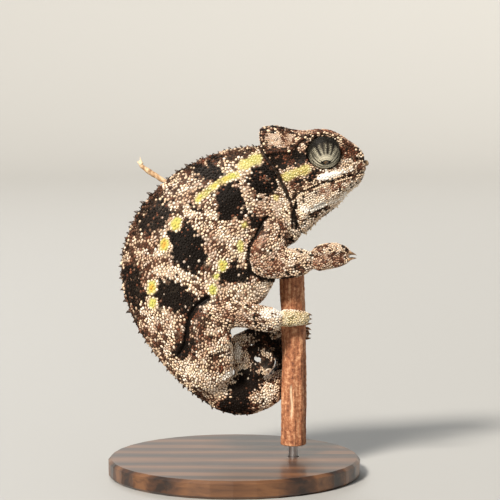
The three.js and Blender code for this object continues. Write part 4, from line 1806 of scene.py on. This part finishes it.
@dataclass(frozen=True)
class Horn(Finish):
    """Keratin of claws and spines: dense, a little glossy, with fine streaks from its growth.

    Attributes:
        name: The material's name.
        body: Its main colour.
        streak: The colour of its growth streaks.
        roughness: How dull it is.
    """

    name: str
    body: str
    streak: str
    roughness: float = 0.35

    def dress(self, tree: NodeTree, shader: Node) -> None:
        """Streaks the horn with fine growth lines."""
        place = add_node(tree, "TexCoord", {}).outputs["Object"]
        noise = {"Scale": 1 / (0.22 * MM), "Detail": 4.0, "Vector": place}
        streaks = add_node(tree, "TexNoise", noise).outputs["Fac"]
        stops = [(0.38, self.streak), (0.62, self.body)]
        bump = {"Strength": 0.3, "Distance": 0.02 * MM, "Height": streaks}
        surface = {
            "Base Color": add_node(tree, "ValToRGB", {"ramp": stops, "Fac": streaks}).outputs["Color"],
            "Normal": add_node(tree, "Bump", bump).outputs["Normal"],
            "Roughness": self.roughness,
        }
        set_up(tree, shader, surface)


@dataclass
class SpineRow:
    """A row of horny spines along the animal's middle line.

    Attributes:
        name: The piece's name.
        line: Points on the skin where they stand.
        centre: The point that they point away from.
        length: How far a spine stands out.
        radius: The radius of its root.
        sweep: How far its tip is swept back along the row.
        finish: Its material.
        sunk: How deep its root lies in the skin.
    """

    name: str
    line: Array
    centre: Array
    length: float
    radius: float
    sweep: float
    finish: Horn
    sunk: float = 0.35

    def build(self) -> None:
        """Makes the row, each spine followed by a smaller one."""
        rng = np.random.default_rng(SEED + 2)
        bm = bmesh.new()
        ways = unit(np.gradient(self.line, axis=0))
        for number, (place, way) in enumerate(zip(self.line, ways)):
            out = Vector(unit(place - self.centre))
            size = rng.uniform(0.6, 1.0) if number % 2 == 0 else rng.uniform(0.25, 0.4)
            from_end = min(number, len(self.line) - 1 - number)
            ease = min(1.0, 0.45 + 0.15 * from_end)
            root = Vector(place) - out * self.sunk
            reach = out * self.length * size * ease
            tip = root + out * self.sunk + reach + Vector(way) * self.sweep * size
            horn(bm, root, tip, self.radius * (0.45 + 0.55 * size), reach * 0.12 - Vector(way) * 0.1)
        hand_in(self.name, from_bmesh(bm), self.finish)


@dataclass
class Claws:
    """The twenty claws, each a curved horn along its CAD node.

    Attributes:
        radius: The radius of a claw's root.
        sunk: How deep its root lies in the toe.
        sag: How far its middle leans out of the straight line.
        grip: The distance from the stem's middle within which a claw hooks round it.
    """

    radius: float = 0.36
    sunk: float = 0.45
    sag: float = 0.16
    grip: float = 9.0

    def build(self) -> None:
        """Makes each foot's claws as one piece."""
        finish = Horn("claw_keratin", "#b08a62", "#4a3324", 0.3)
        for hand in HANDS:
            bm = bmesh.new()
            foot = Vector(sum(middle(f"{hand}_{row}_toes") for row in ("inner", "outer")) / 2)
            nodes = sorted(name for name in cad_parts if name.startswith(f"{hand}_claw_"))
            for node in nodes:
                self.claw(bm, node, foot)
            hand_in(f"claws_{hand}", from_bmesh(bm), finish, tuple(nodes))

    def claw(self, bm: BMesh, node: str, foot: Vector) -> None:
        """Makes one claw.

        Args:
            bm: The bmesh that it joins.
            node: Its CAD node.
            foot: The middle of its foot.
        """
        stem = Vector(middle("perch_stem"))
        solid = node_mesh(node)
        points = [vert.co.copy() for vert in solid.verts]
        solid.free()
        tip = max(points, key=lambda point: (point - foot).length)
        others = sorted(points, key=lambda point: -(point - tip).length)[: len(points) // 2]
        root = sum(others, Vector()) / len(others)
        way = (tip - root).normalized()
        grip = Vector((stem.x, stem.y, tip.z)) - tip
        down = grip if grip.length < self.grip else Vector((0, 0, -1))
        hook = (down - way * down.dot(way)).normalized()
        horn(bm, root - way * self.sunk, tip, self.radius, -hook * self.sag, sides=10)


@dataclass
class RostralKnob:
    """The small knob of horn at the snout's tip, with a lumpy skin.

    Attributes:
        share: Its radius as a share of its CAD ball's.
        back: How far it sits behind the ball's middle.
        lump: The width of a lump.
        swell: How high the lumps are.
    """

    share: float = 0.74
    back: float = 0.3
    lump: float = 0.55
    swell: float = 0.3

    def build(self) -> None:
        """Makes the knob inside its CAD ball."""
        low, high = (Vector(corner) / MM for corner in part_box("rostral_knob"))
        bm = bmesh.new()
        bmesh.ops.create_icosphere(bm, subdivisions=4, radius=(high.z - low.z) / 2 * self.share)
        bmesh.ops.translate(bm, vec=(low + high) / 2 - Vector((self.back, 0, 0)), verts=bm.verts)
        places = np.array([vert.co for vert in bm.verts])
        lumps = MOTTLE.at(places, self.lump, 8.8) - 0.55
        for vert, lump in zip(bm.verts, lumps):
            vert.co += vert.normal * float(lump) * self.swell
        finish = Horn("knob_horn", "#c8ad88", "#7d5e43", 0.45)
        hand_in("knob", from_bmesh(bm), finish, ("rostral_knob",))


@dataclass(frozen=True)
class WetEye(Finish):
    """The wet eyeball: a black pupil in a thin gold ring, under a clear coat of tears."""

    name: str = "wet_eye"

    def dress(self, tree: NodeTree, shader: Node) -> None:
        """Colours the eye by the angle from its axis, which is kept on the mesh."""
        angle = add_node(tree, "Attribute", {"attribute_name": "off_axis"}).outputs["Fac"]
        place = add_node(tree, "TexCoord", {}).outputs["Object"]
        noise = {"Scale": 1 / (0.15 * MM), "Detail": 3.0, "Vector": place}
        fleck = add_node(tree, "TexNoise", noise).outputs["Fac"]
        frayed = {"operation": "MULTIPLY_ADD", 0: fleck, 1: 0.06, 2: angle}
        stops = [(0.2, "#050403"), (0.24, "#b98a3a"), (0.29, "#7c5a2a"), (0.34, "#2a1d13"), (0.8, "#120c08")]
        rings = {"ramp": stops, "Fac": add_node(tree, "Math", frayed).outputs[0]}
        surface = {
            "Base Color": add_node(tree, "ValToRGB", rings).outputs["Color"],
            "Roughness": 0.08,
            "Coat Weight": 1.0,
            "Coat Roughness": 0.03,
        }
        set_up(tree, shader, surface)


@dataclass
class Eye:
    """One eye: the ball, and the scaly turret of joined lids that leaves a slit before it.

    Attributes:
        side: Which side of the head it is on.
        slit: Half of the slit's length and height.
        reach: How far the turret's skin runs from the slit's middle, as an angle in degrees.
        pleat: The distance from one fold to the next.
        around: How many points each ring of the turret's skin has.
        inner_arcs: How far the rings at the slit's edge lie outside it.
        rings: How many more rings there are from there to the back.
        rays: The dark rays: their direction in degrees, and their shares of black and rust.
        palest: The largest share of pale.
    """

    side: str
    slit: tuple[float, float] = (1.15, 0.4)
    reach: float = 108.0
    pleat: float = 0.46
    around: int = 128
    inner_arcs: tuple[float, ...] = (-0.5, -0.25, -0.08, 0.0, 0.07, 0.15)
    rings: int = 74
    rays: tuple[tuple[float, float, float], ...] = (
        (30, 0.7, 0.0),
        (57, 1.0, 0.1),
        (80, 1.0, 0.5),
        (101, 0.9, 0.5),
        (125, 1.0, 0.1),
        (153, 0.7, 0.0),
    )
    palest: float = 1.15

    def __post_init__(self) -> None:
        """Takes the turret's middle, radius and gaze from the CAD."""
        low, high = box(f"eye_turret_{self.side}")
        self.radius = (high[0] - low[0]) / 2
        depth = low[1] + self.radius if self.side == "near" else high[1] - self.radius
        self.centre = np.array([(low[0] + high[0]) / 2, depth, (low[2] + high[2]) / 2])
        self.gaze = unit(middle(f"eyeball_{self.side}") - self.centre)
        ahead = np.array([1.0, 0, 0])
        self.ahead = unit(ahead - (ahead @ self.gaze) * self.gaze)
        up = np.cross(self.gaze, self.ahead)
        self.up = up * np.sign(up[2])

    def slit_edge(self, turn: Array) -> Array:
        """Measures how far the lens-shaped slit reaches from its middle.

        Args:
            turn: Directions round it.

        Returns:
            Its reach in each direction.
        """
        wide, high = self.slit
        curve = high * (np.cos(turn) / wide) ** 2
        rise = abs(np.sin(turn))
        reach = np.full(turn.shape, wide)
        bent = curve > 1e-6
        root = np.sqrt(rise[bent] ** 2 + 4 * high * curve[bent])
        reach[bent] = (root - rise[bent]) / (2 * curve[bent])
        reach[~bent] = high / rise[~bent]
        return reach

    def angle(self, arc: float, turn: Array) -> Array:
        """Finds the angle from the gaze of the ring that lies an arc outside the slit.

        Args:
            arc: The arc.
            turn: Directions round the slit.

        Returns:
            The angle in each direction, in radians.
        """
        edge = self.slit_edge(turn)
        rounding = smoothstep(0.0, 1.6, np.full(turn.shape, arc))
        whole = 0.45 * (self.slit[0] + self.slit[1]) + arc
        return ((edge + arc) * (1 - rounding) + whole * rounding) / self.radius

    def bulge(self, arc: float, turn: Array) -> Array:
        """Sets how far the skin stands from the turret's ball: a lid rim, fading pleats and the low folds.

        Args:
            arc: How far outside the slit.
            turn: Directions round the slit.

        Returns:
            The height in each direction.
        """
        rim = 0.1 * math.exp(-(((arc - 0.18) / 0.22) ** 2)) - 0.6 * max(0.0, -arc) / 0.5
        pleats = 0.05 * math.cos(2 * math.pi * arc / self.pleat) * smoothstep(1.6, 3.4, np.array(arc))
        return rim + pleats - 0.3 * self.low_folds(arc, turn) - 0.12

    def low_folds(self, arc: float, turn: Array) -> Array:
        """Finds the folds that curve under the slit from side to side.

        Args:
            arc: How far outside the slit.
            turn: Directions round the slit.

        Returns:
            How deep in a fold the skin is in each direction, from 0 to 1.
        """
        off = self.angle(arc, turn)
        along = self.radius * np.sin(off) * np.cos(turn)
        up = self.radius * np.sin(off) * np.sin(turn)
        reach = np.hypot(along - 0.1, up - 3.3)
        deep = np.exp(-(((reach - 4.15) / 0.23) ** 2)) + 0.9 * np.exp(-(((reach - 5.05) / 0.21) ** 2))
        deep += 0.8 * np.exp(-(((reach - 3.35) / 0.13) ** 2)) * smoothstep(2.1, 1.5, abs(along - 0.1))
        return np.clip(deep, 0, 1) * smoothstep(1.6, 0.6, up) * (arc > 0.05) * smoothstep(1.7, 1.3, off)

    def point(self, arc: float, turn: Array, lift: float = 0.0) -> Array:
        """Places points on the turret's skin.

        Args:
            arc: How far outside the slit.
            turn: Directions round the slit.
            lift: How far over the skin.

        Returns:
            A point for each direction.
        """
        off = self.angle(arc, turn)[:, None]
        across = np.cos(turn)[:, None] * self.ahead + np.sin(turn)[:, None] * self.up
        way = np.cos(off) * self.gaze + np.sin(off) * across
        return self.centre + (self.radius + self.bulge(arc, turn)[:, None] + lift) * way

    def pigments(self, arc: Array, turn: Array) -> Shares:
        """Colours the turret grey-green, with dark rays that meet above the slit, and painted shade in the
        low folds and inside the slit.

        Args:
            arc: Distances from the slit.
            turn: Directions round it.

        Returns:
            Shares of the four pigments.
        """
        black = np.zeros(len(turn))
        rust = np.zeros(len(turn))
        for ray, deep, warm in self.rays:
            off = (turn - math.radians(ray) + math.pi) % (2 * math.pi) - math.pi
            width = 0.145 + 0.045 * np.sin(ray + 1.7 * arc) + 0.06 * smoothstep(4.0, 1.5, arc)
            here = np.exp(-((off / width) ** 2)) * smoothstep(0.9, 1.9, arc) * smoothstep(6.4, 5.0, arc)
            black = np.maximum(black, deep * here)
            rust = np.maximum(rust, warm * here)
        folds = np.array([self.low_folds(a, np.array([t]))[0] for a, t in zip(arc, turn)])
        rings = np.cos(2 * np.pi * arc / self.pleat)
        outer = smoothstep(3.7, 5.0, arc)
        dusk = 0.15 * outer * (rings < 0.2) + 0.88 * outer
        rim = np.exp(-(((arc - 0.05) / 0.16) ** 2))
        light = 0.3 * np.exp(-(((arc - 0.5) / 0.22) ** 2))
        light += 0.4 * smoothstep(0.35, 0.9, arc) * smoothstep(3.6, 1.8, arc)
        # The black in the low folds and on the skin inside the slit is painted shade.
        black = np.maximum.reduce([black, folds * 1.2, 0.95 * rim, 0.97 * (arc < 0.0), dusk])
        return {
            "pale": np.clip(0.74 + light + 0.12 * rings - 0.5 * outer, 0, self.palest),
            "rust": np.clip(rust, 0, 1),
            "yellow": np.zeros(len(turn)),
            "black": np.clip(black, 0, 1),
        }

    def finish(self) -> ScaledSkin:
        """The turret's own colours of the scaly skin, which has no yellow."""
        pale = dict.fromkeys(("cream", "white", "yellow", "ember"), "#ece4ca")
        return ScaledSkin("eyelid_skin", "#2f2a1c", rust="#5d3129", black="#0d0b08", roughness=0.5, **pale)

    def turret(self) -> None:
        """Makes the turret's skin: the slit's ring drawn out in pleats round the ball."""
        turn = np.linspace(0, 2 * np.pi, self.around, endpoint=False)
        last = math.radians(self.reach) * self.radius - 0.65
        arcs = [*self.inner_arcs, *np.linspace(0.24, last, self.rings)]
        bm = bmesh.new()
        ring = bmesh.ops.create_circle(bm, segments=self.around, radius=1)["verts"]
        loop = list({edge for vert in ring for edge in vert.link_edges})
        for arc in arcs:
            for vert, place in zip(ring, self.point(arc, turn)):
                vert.co = place
            if arc != arcs[-1]:
                loop, ring = drawn_ring(bm, loop)
        bmesh.ops.holes_fill(bm, edges=loop, sides=0)
        bmesh.ops.recalc_face_normals(bm, faces=bm.faces)
        mesh = from_bmesh(bm)
        for name, values in self.pigments(np.repeat(arcs, self.around), np.tile(turn, len(arcs))).items():
            put_share(mesh, name, values)
        hand_in(f"turret_{self.side}", mesh, self.finish(), (f"eye_turret_{self.side}",))

    def scales(self) -> None:
        """Sets fine scales on the turret, ring by ring."""
        rng = np.random.default_rng(SEED + 3)
        arcs = []
        turns = []
        radii = []
        arc = 0.22
        last = math.radians(self.reach) * self.radius - 1.2
        while arc < last:
            radius = 0.085 + 0.045 * min(1.0, arc / 1.6)
            off = min(self.angle(arc, np.array([math.pi / 2]))[0], 1.57)
            length = 2 * math.pi * self.radius * math.sin(off)
            count = max(8, int(length / (2 * radius)))
            steps = (np.arange(count) + rng.random() + rng.uniform(-0.22, 0.22, count)) * 2 * np.pi / count
            arcs.append(arc + rng.uniform(-0.22, 0.22, count) * radius)
            turns.append(steps)
            radii.append(np.full(count, radius) * rng.uniform(0.7, 1.05, count))
            arc += radius * 1.8
        arc, turn, radius = (np.concatenate(part) for part in (arcs, turns, radii))
        roots, ahead, beside = (
            np.concatenate([self.point(a + out, np.array([t + on]), -0.02) for a, t in zip(arc, turn)])
            for out, on in ((0, 0), (0.05, 0), (0, 0.02))
        )
        normals = np.cross(ahead - roots, beside - roots)
        normals *= np.sign((normals * (roots - self.centre)).sum(axis=1))[:, None]
        shares = self.pigments(arc, turn)
        shares["pale"] = np.clip(shares["pale"] + rng.normal(0, 0.14, len(arc)), 0, self.palest)
        off = arc / last * 0.45
        places = 0.5 + np.stack([off * np.cos(turn), off * np.sin(turn)], axis=1)
        grown = Scales(roots, normals, ahead - roots, radius, radius * 0.8, places, shares)
        mesh = join_scales([grown.shaped(ScaleForm(ScaleKind.SCUTE), rng)])
        hand_in(f"turret_scales_{self.side}", mesh, self.finish())

    def ball(self) -> None:
        """Makes the eyeball, with its pupil on the gaze."""
        low, high = box(f"eyeball_{self.side}")
        radius = (high - low).max() / 2 - 0.03
        centre = Vector((low + high) / 2)
        gaze = Vector(self.gaze)
        bm = bmesh.new()
        turn = Vector((0, 0, 1)).rotation_difference(gaze).to_matrix().to_4x4()
        bmesh.ops.create_uvsphere(bm, u_segments=48, v_segments=32, radius=radius, matrix=turn)
        bmesh.ops.translate(bm, vec=centre, verts=bm.verts)
        off_axis = [gaze.angle(vert.co - centre) for vert in bm.verts]
        mesh = from_bmesh(bm)
        put_share(mesh, "off_axis", np.array(off_axis))
        hand_in(f"eye_{self.side}", mesh, WetEye(), (f"eyeball_{self.side}",))

    def build(self) -> None:
        """Makes the whole eye."""
        self.turret()
        self.scales()
        self.ball()


# ---------- perch and stand


@dataclass(frozen=True)
class Bark(Finish):
    """Dry reddish-brown bark of a cut herb stem: speckled, dull, with pale rubbed streaks along it.

    Attributes:
        name: The material's name.
        deep: The colour in its pores.
        body: Its main colour.
        rubbed: Where it is rubbed pale.
        pith: Where the bark is broken to the pale wood; the mesh says where.
    """

    name: str = "dry_bark"
    deep: str = "#5a2f1d"
    body: str = "#a06643"
    rubbed: str = "#d3a27b"
    pith: str = "#dcc9a8"

    def dress(self, tree: NodeTree, shader: Node) -> None:
        """Mixes specks, streaks along the stem and the pale breaks."""
        place = add_node(tree, "TexCoord", {}).outputs["Object"]
        specks = {"Scale": 1 / (0.9 * MM), "Detail": 4.0, "Roughness": 0.7, "Vector": place}
        drawn = add_node(tree, "Mapping", {"Scale": (1, 1, 0.12), "Vector": place}).outputs["Vector"]
        streaks = {"Scale": 1 / (0.8 * MM), "Detail": 3.0, "Vector": drawn}
        speck, streak = (add_node(tree, "TexNoise", noise).outputs["Fac"] for noise in (specks, streaks))
        both = add_node(tree, "Mix", {"data_type": "FLOAT", 0: 0.4, 2: speck, 3: streak}).outputs[0]
        stops = [(0.36, self.deep), (0.5, self.body), (0.64, self.rubbed)]
        bark = add_node(tree, "ValToRGB", {"ramp": stops, "Fac": both}).outputs["Color"]
        broken = add_node(tree, "Attribute", {"attribute_name": "broken"}).outputs["Fac"]
        whole = {"data_type": "RGBA", 0: broken, 6: bark, 7: linear(self.pith)}
        bump = {"Strength": 0.6, "Distance": 0.12 * MM, "Height": both}
        surface = {
            "Base Color": add_node(tree, "Mix", whole).outputs[2],
            "Normal": add_node(tree, "Bump", bump).outputs["Normal"],
            "Roughness": 0.78,
        }
        set_up(tree, shader, surface)


class Perch:
    """The cut stem and its twig."""

    def stem(self) -> None:
        """Makes the stem's bark: ribs and lumps along it, a crack, and a cut top."""
        mesh = recast(node_mesh("perch_stem"), 0.32, 6)
        shape = read_array(mesh.vertices, "co")
        normals = read_array(mesh.vertices, "normal")
        low, high = box("perch_stem")
        centre = (low + high) / 2
        turn = np.arctan2(shape[:, 1] - centre[1], shape[:, 0] - centre[0])
        side = smoothstep(0.6, 0.3, abs(normals[:, 2]))
        ribs = 0.1 * np.cos(9 * turn + 2.0 * MOTTLE.at(shape, 14.0))
        ribs += 0.06 * np.cos(23 * turn + shape[:, 2] * 0.1)
        lumps = 0.34 * (MOTTLE.at(shape * (1, 1, 0.3), 1.6, 1.5) - 0.5)
        lumps += 0.16 * (MOTTLE.at(shape, 0.7, 3.5) - 0.5)
        crack_turn = -math.pi / 2 - 0.1 + 0.05 * np.sin(shape[:, 2] * 0.8)
        across = (turn - crack_turn) * (high[0] - low[0]) / 2
        crack_end = smoothstep(4.6, 3.2, abs(shape[:, 2] - (low[2] + 11.5)))
        crack = np.exp(-((across / 0.28) ** 2)) * crack_end
        shape += normals * (side * (ribs + lumps - 0.16) - 0.4 * crack)[:, None]
        mesh.vertices.foreach_set("co", shape.ravel())
        cut = smoothstep(0.75, 0.95, abs(normals[:, 2]))
        put_share(mesh, "broken", np.clip(crack * 0.9 + 0.85 * cut, 0, 1))
        mesh.update()
        hand_in("stem", mesh, Bark(), ("perch_stem",))

    def twig(self) -> None:
        """Makes the side twig, whose end is broken into pale prongs."""
        solid = node_mesh("perch_twig")
        points = np.array([vert.co for vert in solid.verts])
        tip = Vector(points[np.argmax(points[:, 2])])
        root = Vector(points[np.argmin(points[:, 2])])
        mesh = recast(solid, 0.17, 3)
        shape = read_array(mesh.vertices, "co")
        normals = read_array(mesh.vertices, "normal")
        shape += normals * (0.3 * (MOTTLE.at(shape, 0.9, 2.5) - 0.55))[:, None]
        arm = shape - np.array(tip)
        from_tip = np.linalg.norm(arm, axis=1)
        way = np.array((tip - root).normalized())
        axis = (arm @ way)[:, None] * way
        thinned = 0.6 * smoothstep(2.0, 0.7, from_tip) * smoothstep(0.0, 0.3, from_tip)
        shape += (axis - arm) * thinned[:, None]
        mesh.vertices.foreach_set("co", shape.ravel())
        mesh.update()
        bm = bmesh.new()
        bm.from_mesh(mesh)
        whole = len(bm.verts)
        start = tip + (root - tip).normalized() * 1.3
        for lean in (Vector((0.5, 0, 1.25)), Vector((-0.35, 0, -0.15)), Vector((0.2, 0.3, 0.3))):
            horn(bm, start, tip + lean, 0.42, lean * -0.12)
        broken = np.concatenate([smoothstep(1.6, 0.9, from_tip), np.ones(len(bm.verts) - whole)])
        made = from_bmesh(bm)
        put_share(made, "broken", broken)
        hand_in("twig", made, Bark("twig_bark", "#7a583d", "#b6926c", "#e0c5a0"), ("perch_twig",))

    def build(self) -> None:
        """Makes both."""
        self.stem()
        self.twig()


@dataclass(frozen=True)
class TurnedWood(Finish):
    """Dark stained hardwood of a turned base, under a satin lacquer."""

    name: str = "turned_dark_wood"

    def dress(self, tree: NodeTree, shader: Node) -> None:
        """Draws long grain with pores along it."""
        place = add_node(tree, "TexCoord", {}).outputs["Object"]
        drawn = add_node(tree, "Mapping", {"Scale": (0.08, 1, 1), "Vector": place}).outputs["Vector"]
        pores = {"Scale": 1 / (1.6 * MM), "Detail": 6.0, "Distortion": 0.6, "Vector": drawn}
        grain = add_node(tree, "TexNoise", pores).outputs["Fac"]
        waves = {"bands_direction": "Y", "Scale": 1 / (28 * MM), "Distortion": 5.0, "Detail": 3.0}
        rings = add_node(tree, "TexWave", {**waves, "Vector": drawn}).outputs["Fac"]
        both = add_node(tree, "Mix", {"data_type": "FLOAT", 0: 0.35, 2: grain, 3: rings}).outputs[0]
        stops = [(0.3, "#24150c"), (0.5, "#4a2e1b"), (0.72, "#6f4a2d")]
        bump = {"Strength": 0.25, "Distance": 0.05 * MM, "Height": grain}
        surface = {
            "Base Color": add_node(tree, "ValToRGB", {"ramp": stops, "Fac": both}).outputs["Color"],
            "Normal": add_node(tree, "Bump", bump).outputs["Normal"],
            "Roughness": 0.42,
            "Coat Weight": 0.35,
            "Coat Roughness": 0.2,
        }
        set_up(tree, shader, surface)


@dataclass(frozen=True)
class BrushedSteel(Finish):
    """Stainless steel rod, brushed along its length."""

    name: str = "brushed_steel"

    def dress(self, tree: NodeTree, shader: Node) -> None:
        """Brushes fine scratches up the rod."""
        place = add_node(tree, "TexCoord", {}).outputs["Object"]
        drawn = add_node(tree, "Mapping", {"Scale": (1, 1, 0.03), "Vector": place}).outputs["Vector"]
        noise = {"Scale": 1 / (0.12 * MM), "Detail": 2.0, "Vector": drawn}
        brushed = add_node(tree, "TexNoise", noise).outputs["Fac"]
        rough = {"To Min": 0.22, "To Max": 0.42, "Value": brushed}
        stops = [(0.3, "#a8a9ab"), (0.7, "#d2d3d4")]
        surface = {
            "Roughness": add_node(tree, "MapRange", rough).outputs["Result"],
            "Base Color": add_node(tree, "ValToRGB", {"ramp": stops, "Fac": brushed}).outputs["Color"],
            "Metallic": 1.0,
        }
        set_up(tree, shader, surface)


def dress_stand() -> None:
    """Gives the stand's CAD nodes their finishes."""
    for node, finish in (("stand_base", TurnedWood()), ("stand_rod", BrushedSteel())):
        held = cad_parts[node]
        for slot in held.material_slots:
            slot.material = finish.material()
        LOG.info("%s: dressed in %s", node, finish.name)


# ---------- studio


@dataclass
class Studio:
    """The floor, the lights and the camera.

    Attributes:
        aim: The point that the camera looks at.
        distance: How far the camera stands from it.
        elevation: How far the camera looks down, in degrees.
        frame_width: The width of the view at the aim.
        flat: The radius of the flat floor.
        bend: The radius of the floor's rise into the wall.
        wall: How high the wall is.
    """

    aim: tuple[float, float, float] = (4.0, -4.0, 57.5)
    distance: float = 500.0
    elevation: float = 5.0
    frame_width: float = 125.0
    flat: float = 1500.0
    bend: float = 900.0
    wall: float = 1000.0

    def build(self) -> None:
        """Sets up the whole studio."""
        self.floor()
        self.camera()
        self.lamp("key", (-240, -380, 450), 12.0, 5.8, "#fff7ec")
        self.lamp("fill", (420, -420, 160), 40.0, 0.35, "#eef3ff")
        self.lamp("rim", (-160, 460, 420), 25.0, 0.9, "#ffffff")
        world = bpy.data.worlds.new("pale room")
        world.use_nodes = True
        room = {"Color": linear("#dfe1e0"), "Strength": 0.42}
        set_up(world.node_tree, world.node_tree.nodes["Background"], room)
        scene = bpy.context.scene
        scene.world = world
        scene.view_settings.view_transform = "Standard"

    def floor(self) -> None:
        """Lays the plain pale floor, which rises to a wall far off with no edge between."""
        bm = bmesh.new()
        profile = [(0, 0), (self.flat / 5, 0), (self.flat, 0)]
        for turn in np.linspace(0.1, 1.57, 14):
            profile.append((self.flat + self.bend * math.sin(turn), self.bend - self.bend * math.cos(turn)))
        profile.append((self.flat + self.bend, self.wall))
        rim = [bm.verts.new((x, 0, z)) for x, z in profile]
        edges = [bm.edges.new(pair) for pair in zip(rim, rim[1:])]
        around = {"cent": (0, 0, 0), "axis": (0, 0, 1), "angle": 2 * math.pi, "steps": 96}
        bmesh.ops.spin(bm, geom=rim + edges, use_merge=True, **around)
        bmesh.ops.remove_doubles(bm, verts=bm.verts, dist=0.01)
        mesh = from_bmesh(bm)
        mesh.transform(Matrix.Scale(MM, 4))
        mesh.materials.append(StudioPaper().material())
        add_object("floor", mesh)

    def camera(self) -> None:
        """Places the camera square to the animal's near side, a little above it."""
        data = bpy.data.cameras.new("camera")
        data.angle = 2 * math.atan(self.frame_width / 2 / self.distance)
        data.clip_start = 0.01
        camera = add_object("camera", data)
        rise = math.radians(self.elevation)
        back = Vector((0, -math.cos(rise), math.sin(rise)))
        camera.location = (Vector(self.aim) + back * self.distance) * MM
        camera.rotation_euler = back.to_track_quat("Z", "Y").to_euler()
        bpy.context.scene.camera = camera

    def lamp(self, name: str, place: tuple, softness: float, strength: float, colour: str) -> None:
        """Hangs one broad, even lamp.

        Args:
            name: The lamp's name.
            place: Where it shines from.
            softness: How wide it looks from the animal, in degrees.
            strength: Its light, in watts a square metre.
            colour: The colour of its light.
        """
        data = bpy.data.lights.new(name, "SUN")
        data.angle = math.radians(softness)
        data.energy = strength
        data.color = linear(colour)[:3]
        lamp = add_object(name, data)
        lamp.location = Vector(place) * MM
        lamp.rotation_euler = (Vector(place) - Vector(self.aim)).to_track_quat("Z", "Y").to_euler()


def main() -> None:
    """Builds the studio and every piece."""
    logging.basicConfig(level=logging.INFO, format="%(name)s %(message)s")
    Studio().build()
    shape = Hide().build()
    head = middle("head")
    curl = np.array([9.0, head[1], 52.0])
    back_parts = ("neck", "trunk", "tail_1")
    back_turn = (88, 262)
    markings = Markings(shape.outline(back_parts, curl, back_turn, pitch=1.0))
    spine = shape.outline(back_parts, curl, back_turn, pitch=1.5)
    throat = shape.outline(("lower_jaw",), head, (232, 335), pitch=0.9)
    eye_seats = [(middle(f"eye_turret_{side}"), 4.3) for side in SIDES]
    Coat(shape, markings, bare=eye_seats).build()
    for name, values in markings.paint(shape.places, shape.parts, shape.crease).items():
        put_share(shape.mesh, name, values)
    hand_in("hide", shape.mesh, ScaledSkin(), FLESH)
    dark = Horn("crest_horn", body="#4a3628", streak="#1d140e")
    pale = Horn("beard_horn", body="#f0e2c4", streak="#c9b28c")
    SpineRow("crest", spine, curl, length=0.85, radius=0.5, sweep=0.3, finish=dark).build()
    SpineRow("beard", throat, head, length=0.62, radius=0.32, sweep=0.2, finish=pale).build()
    for side in SIDES:
        Eye(side).build()
    Claws().build()
    RostralKnob().build()
    Perch().build()
    dress_stand()


if __name__ == "__main__":
    main()
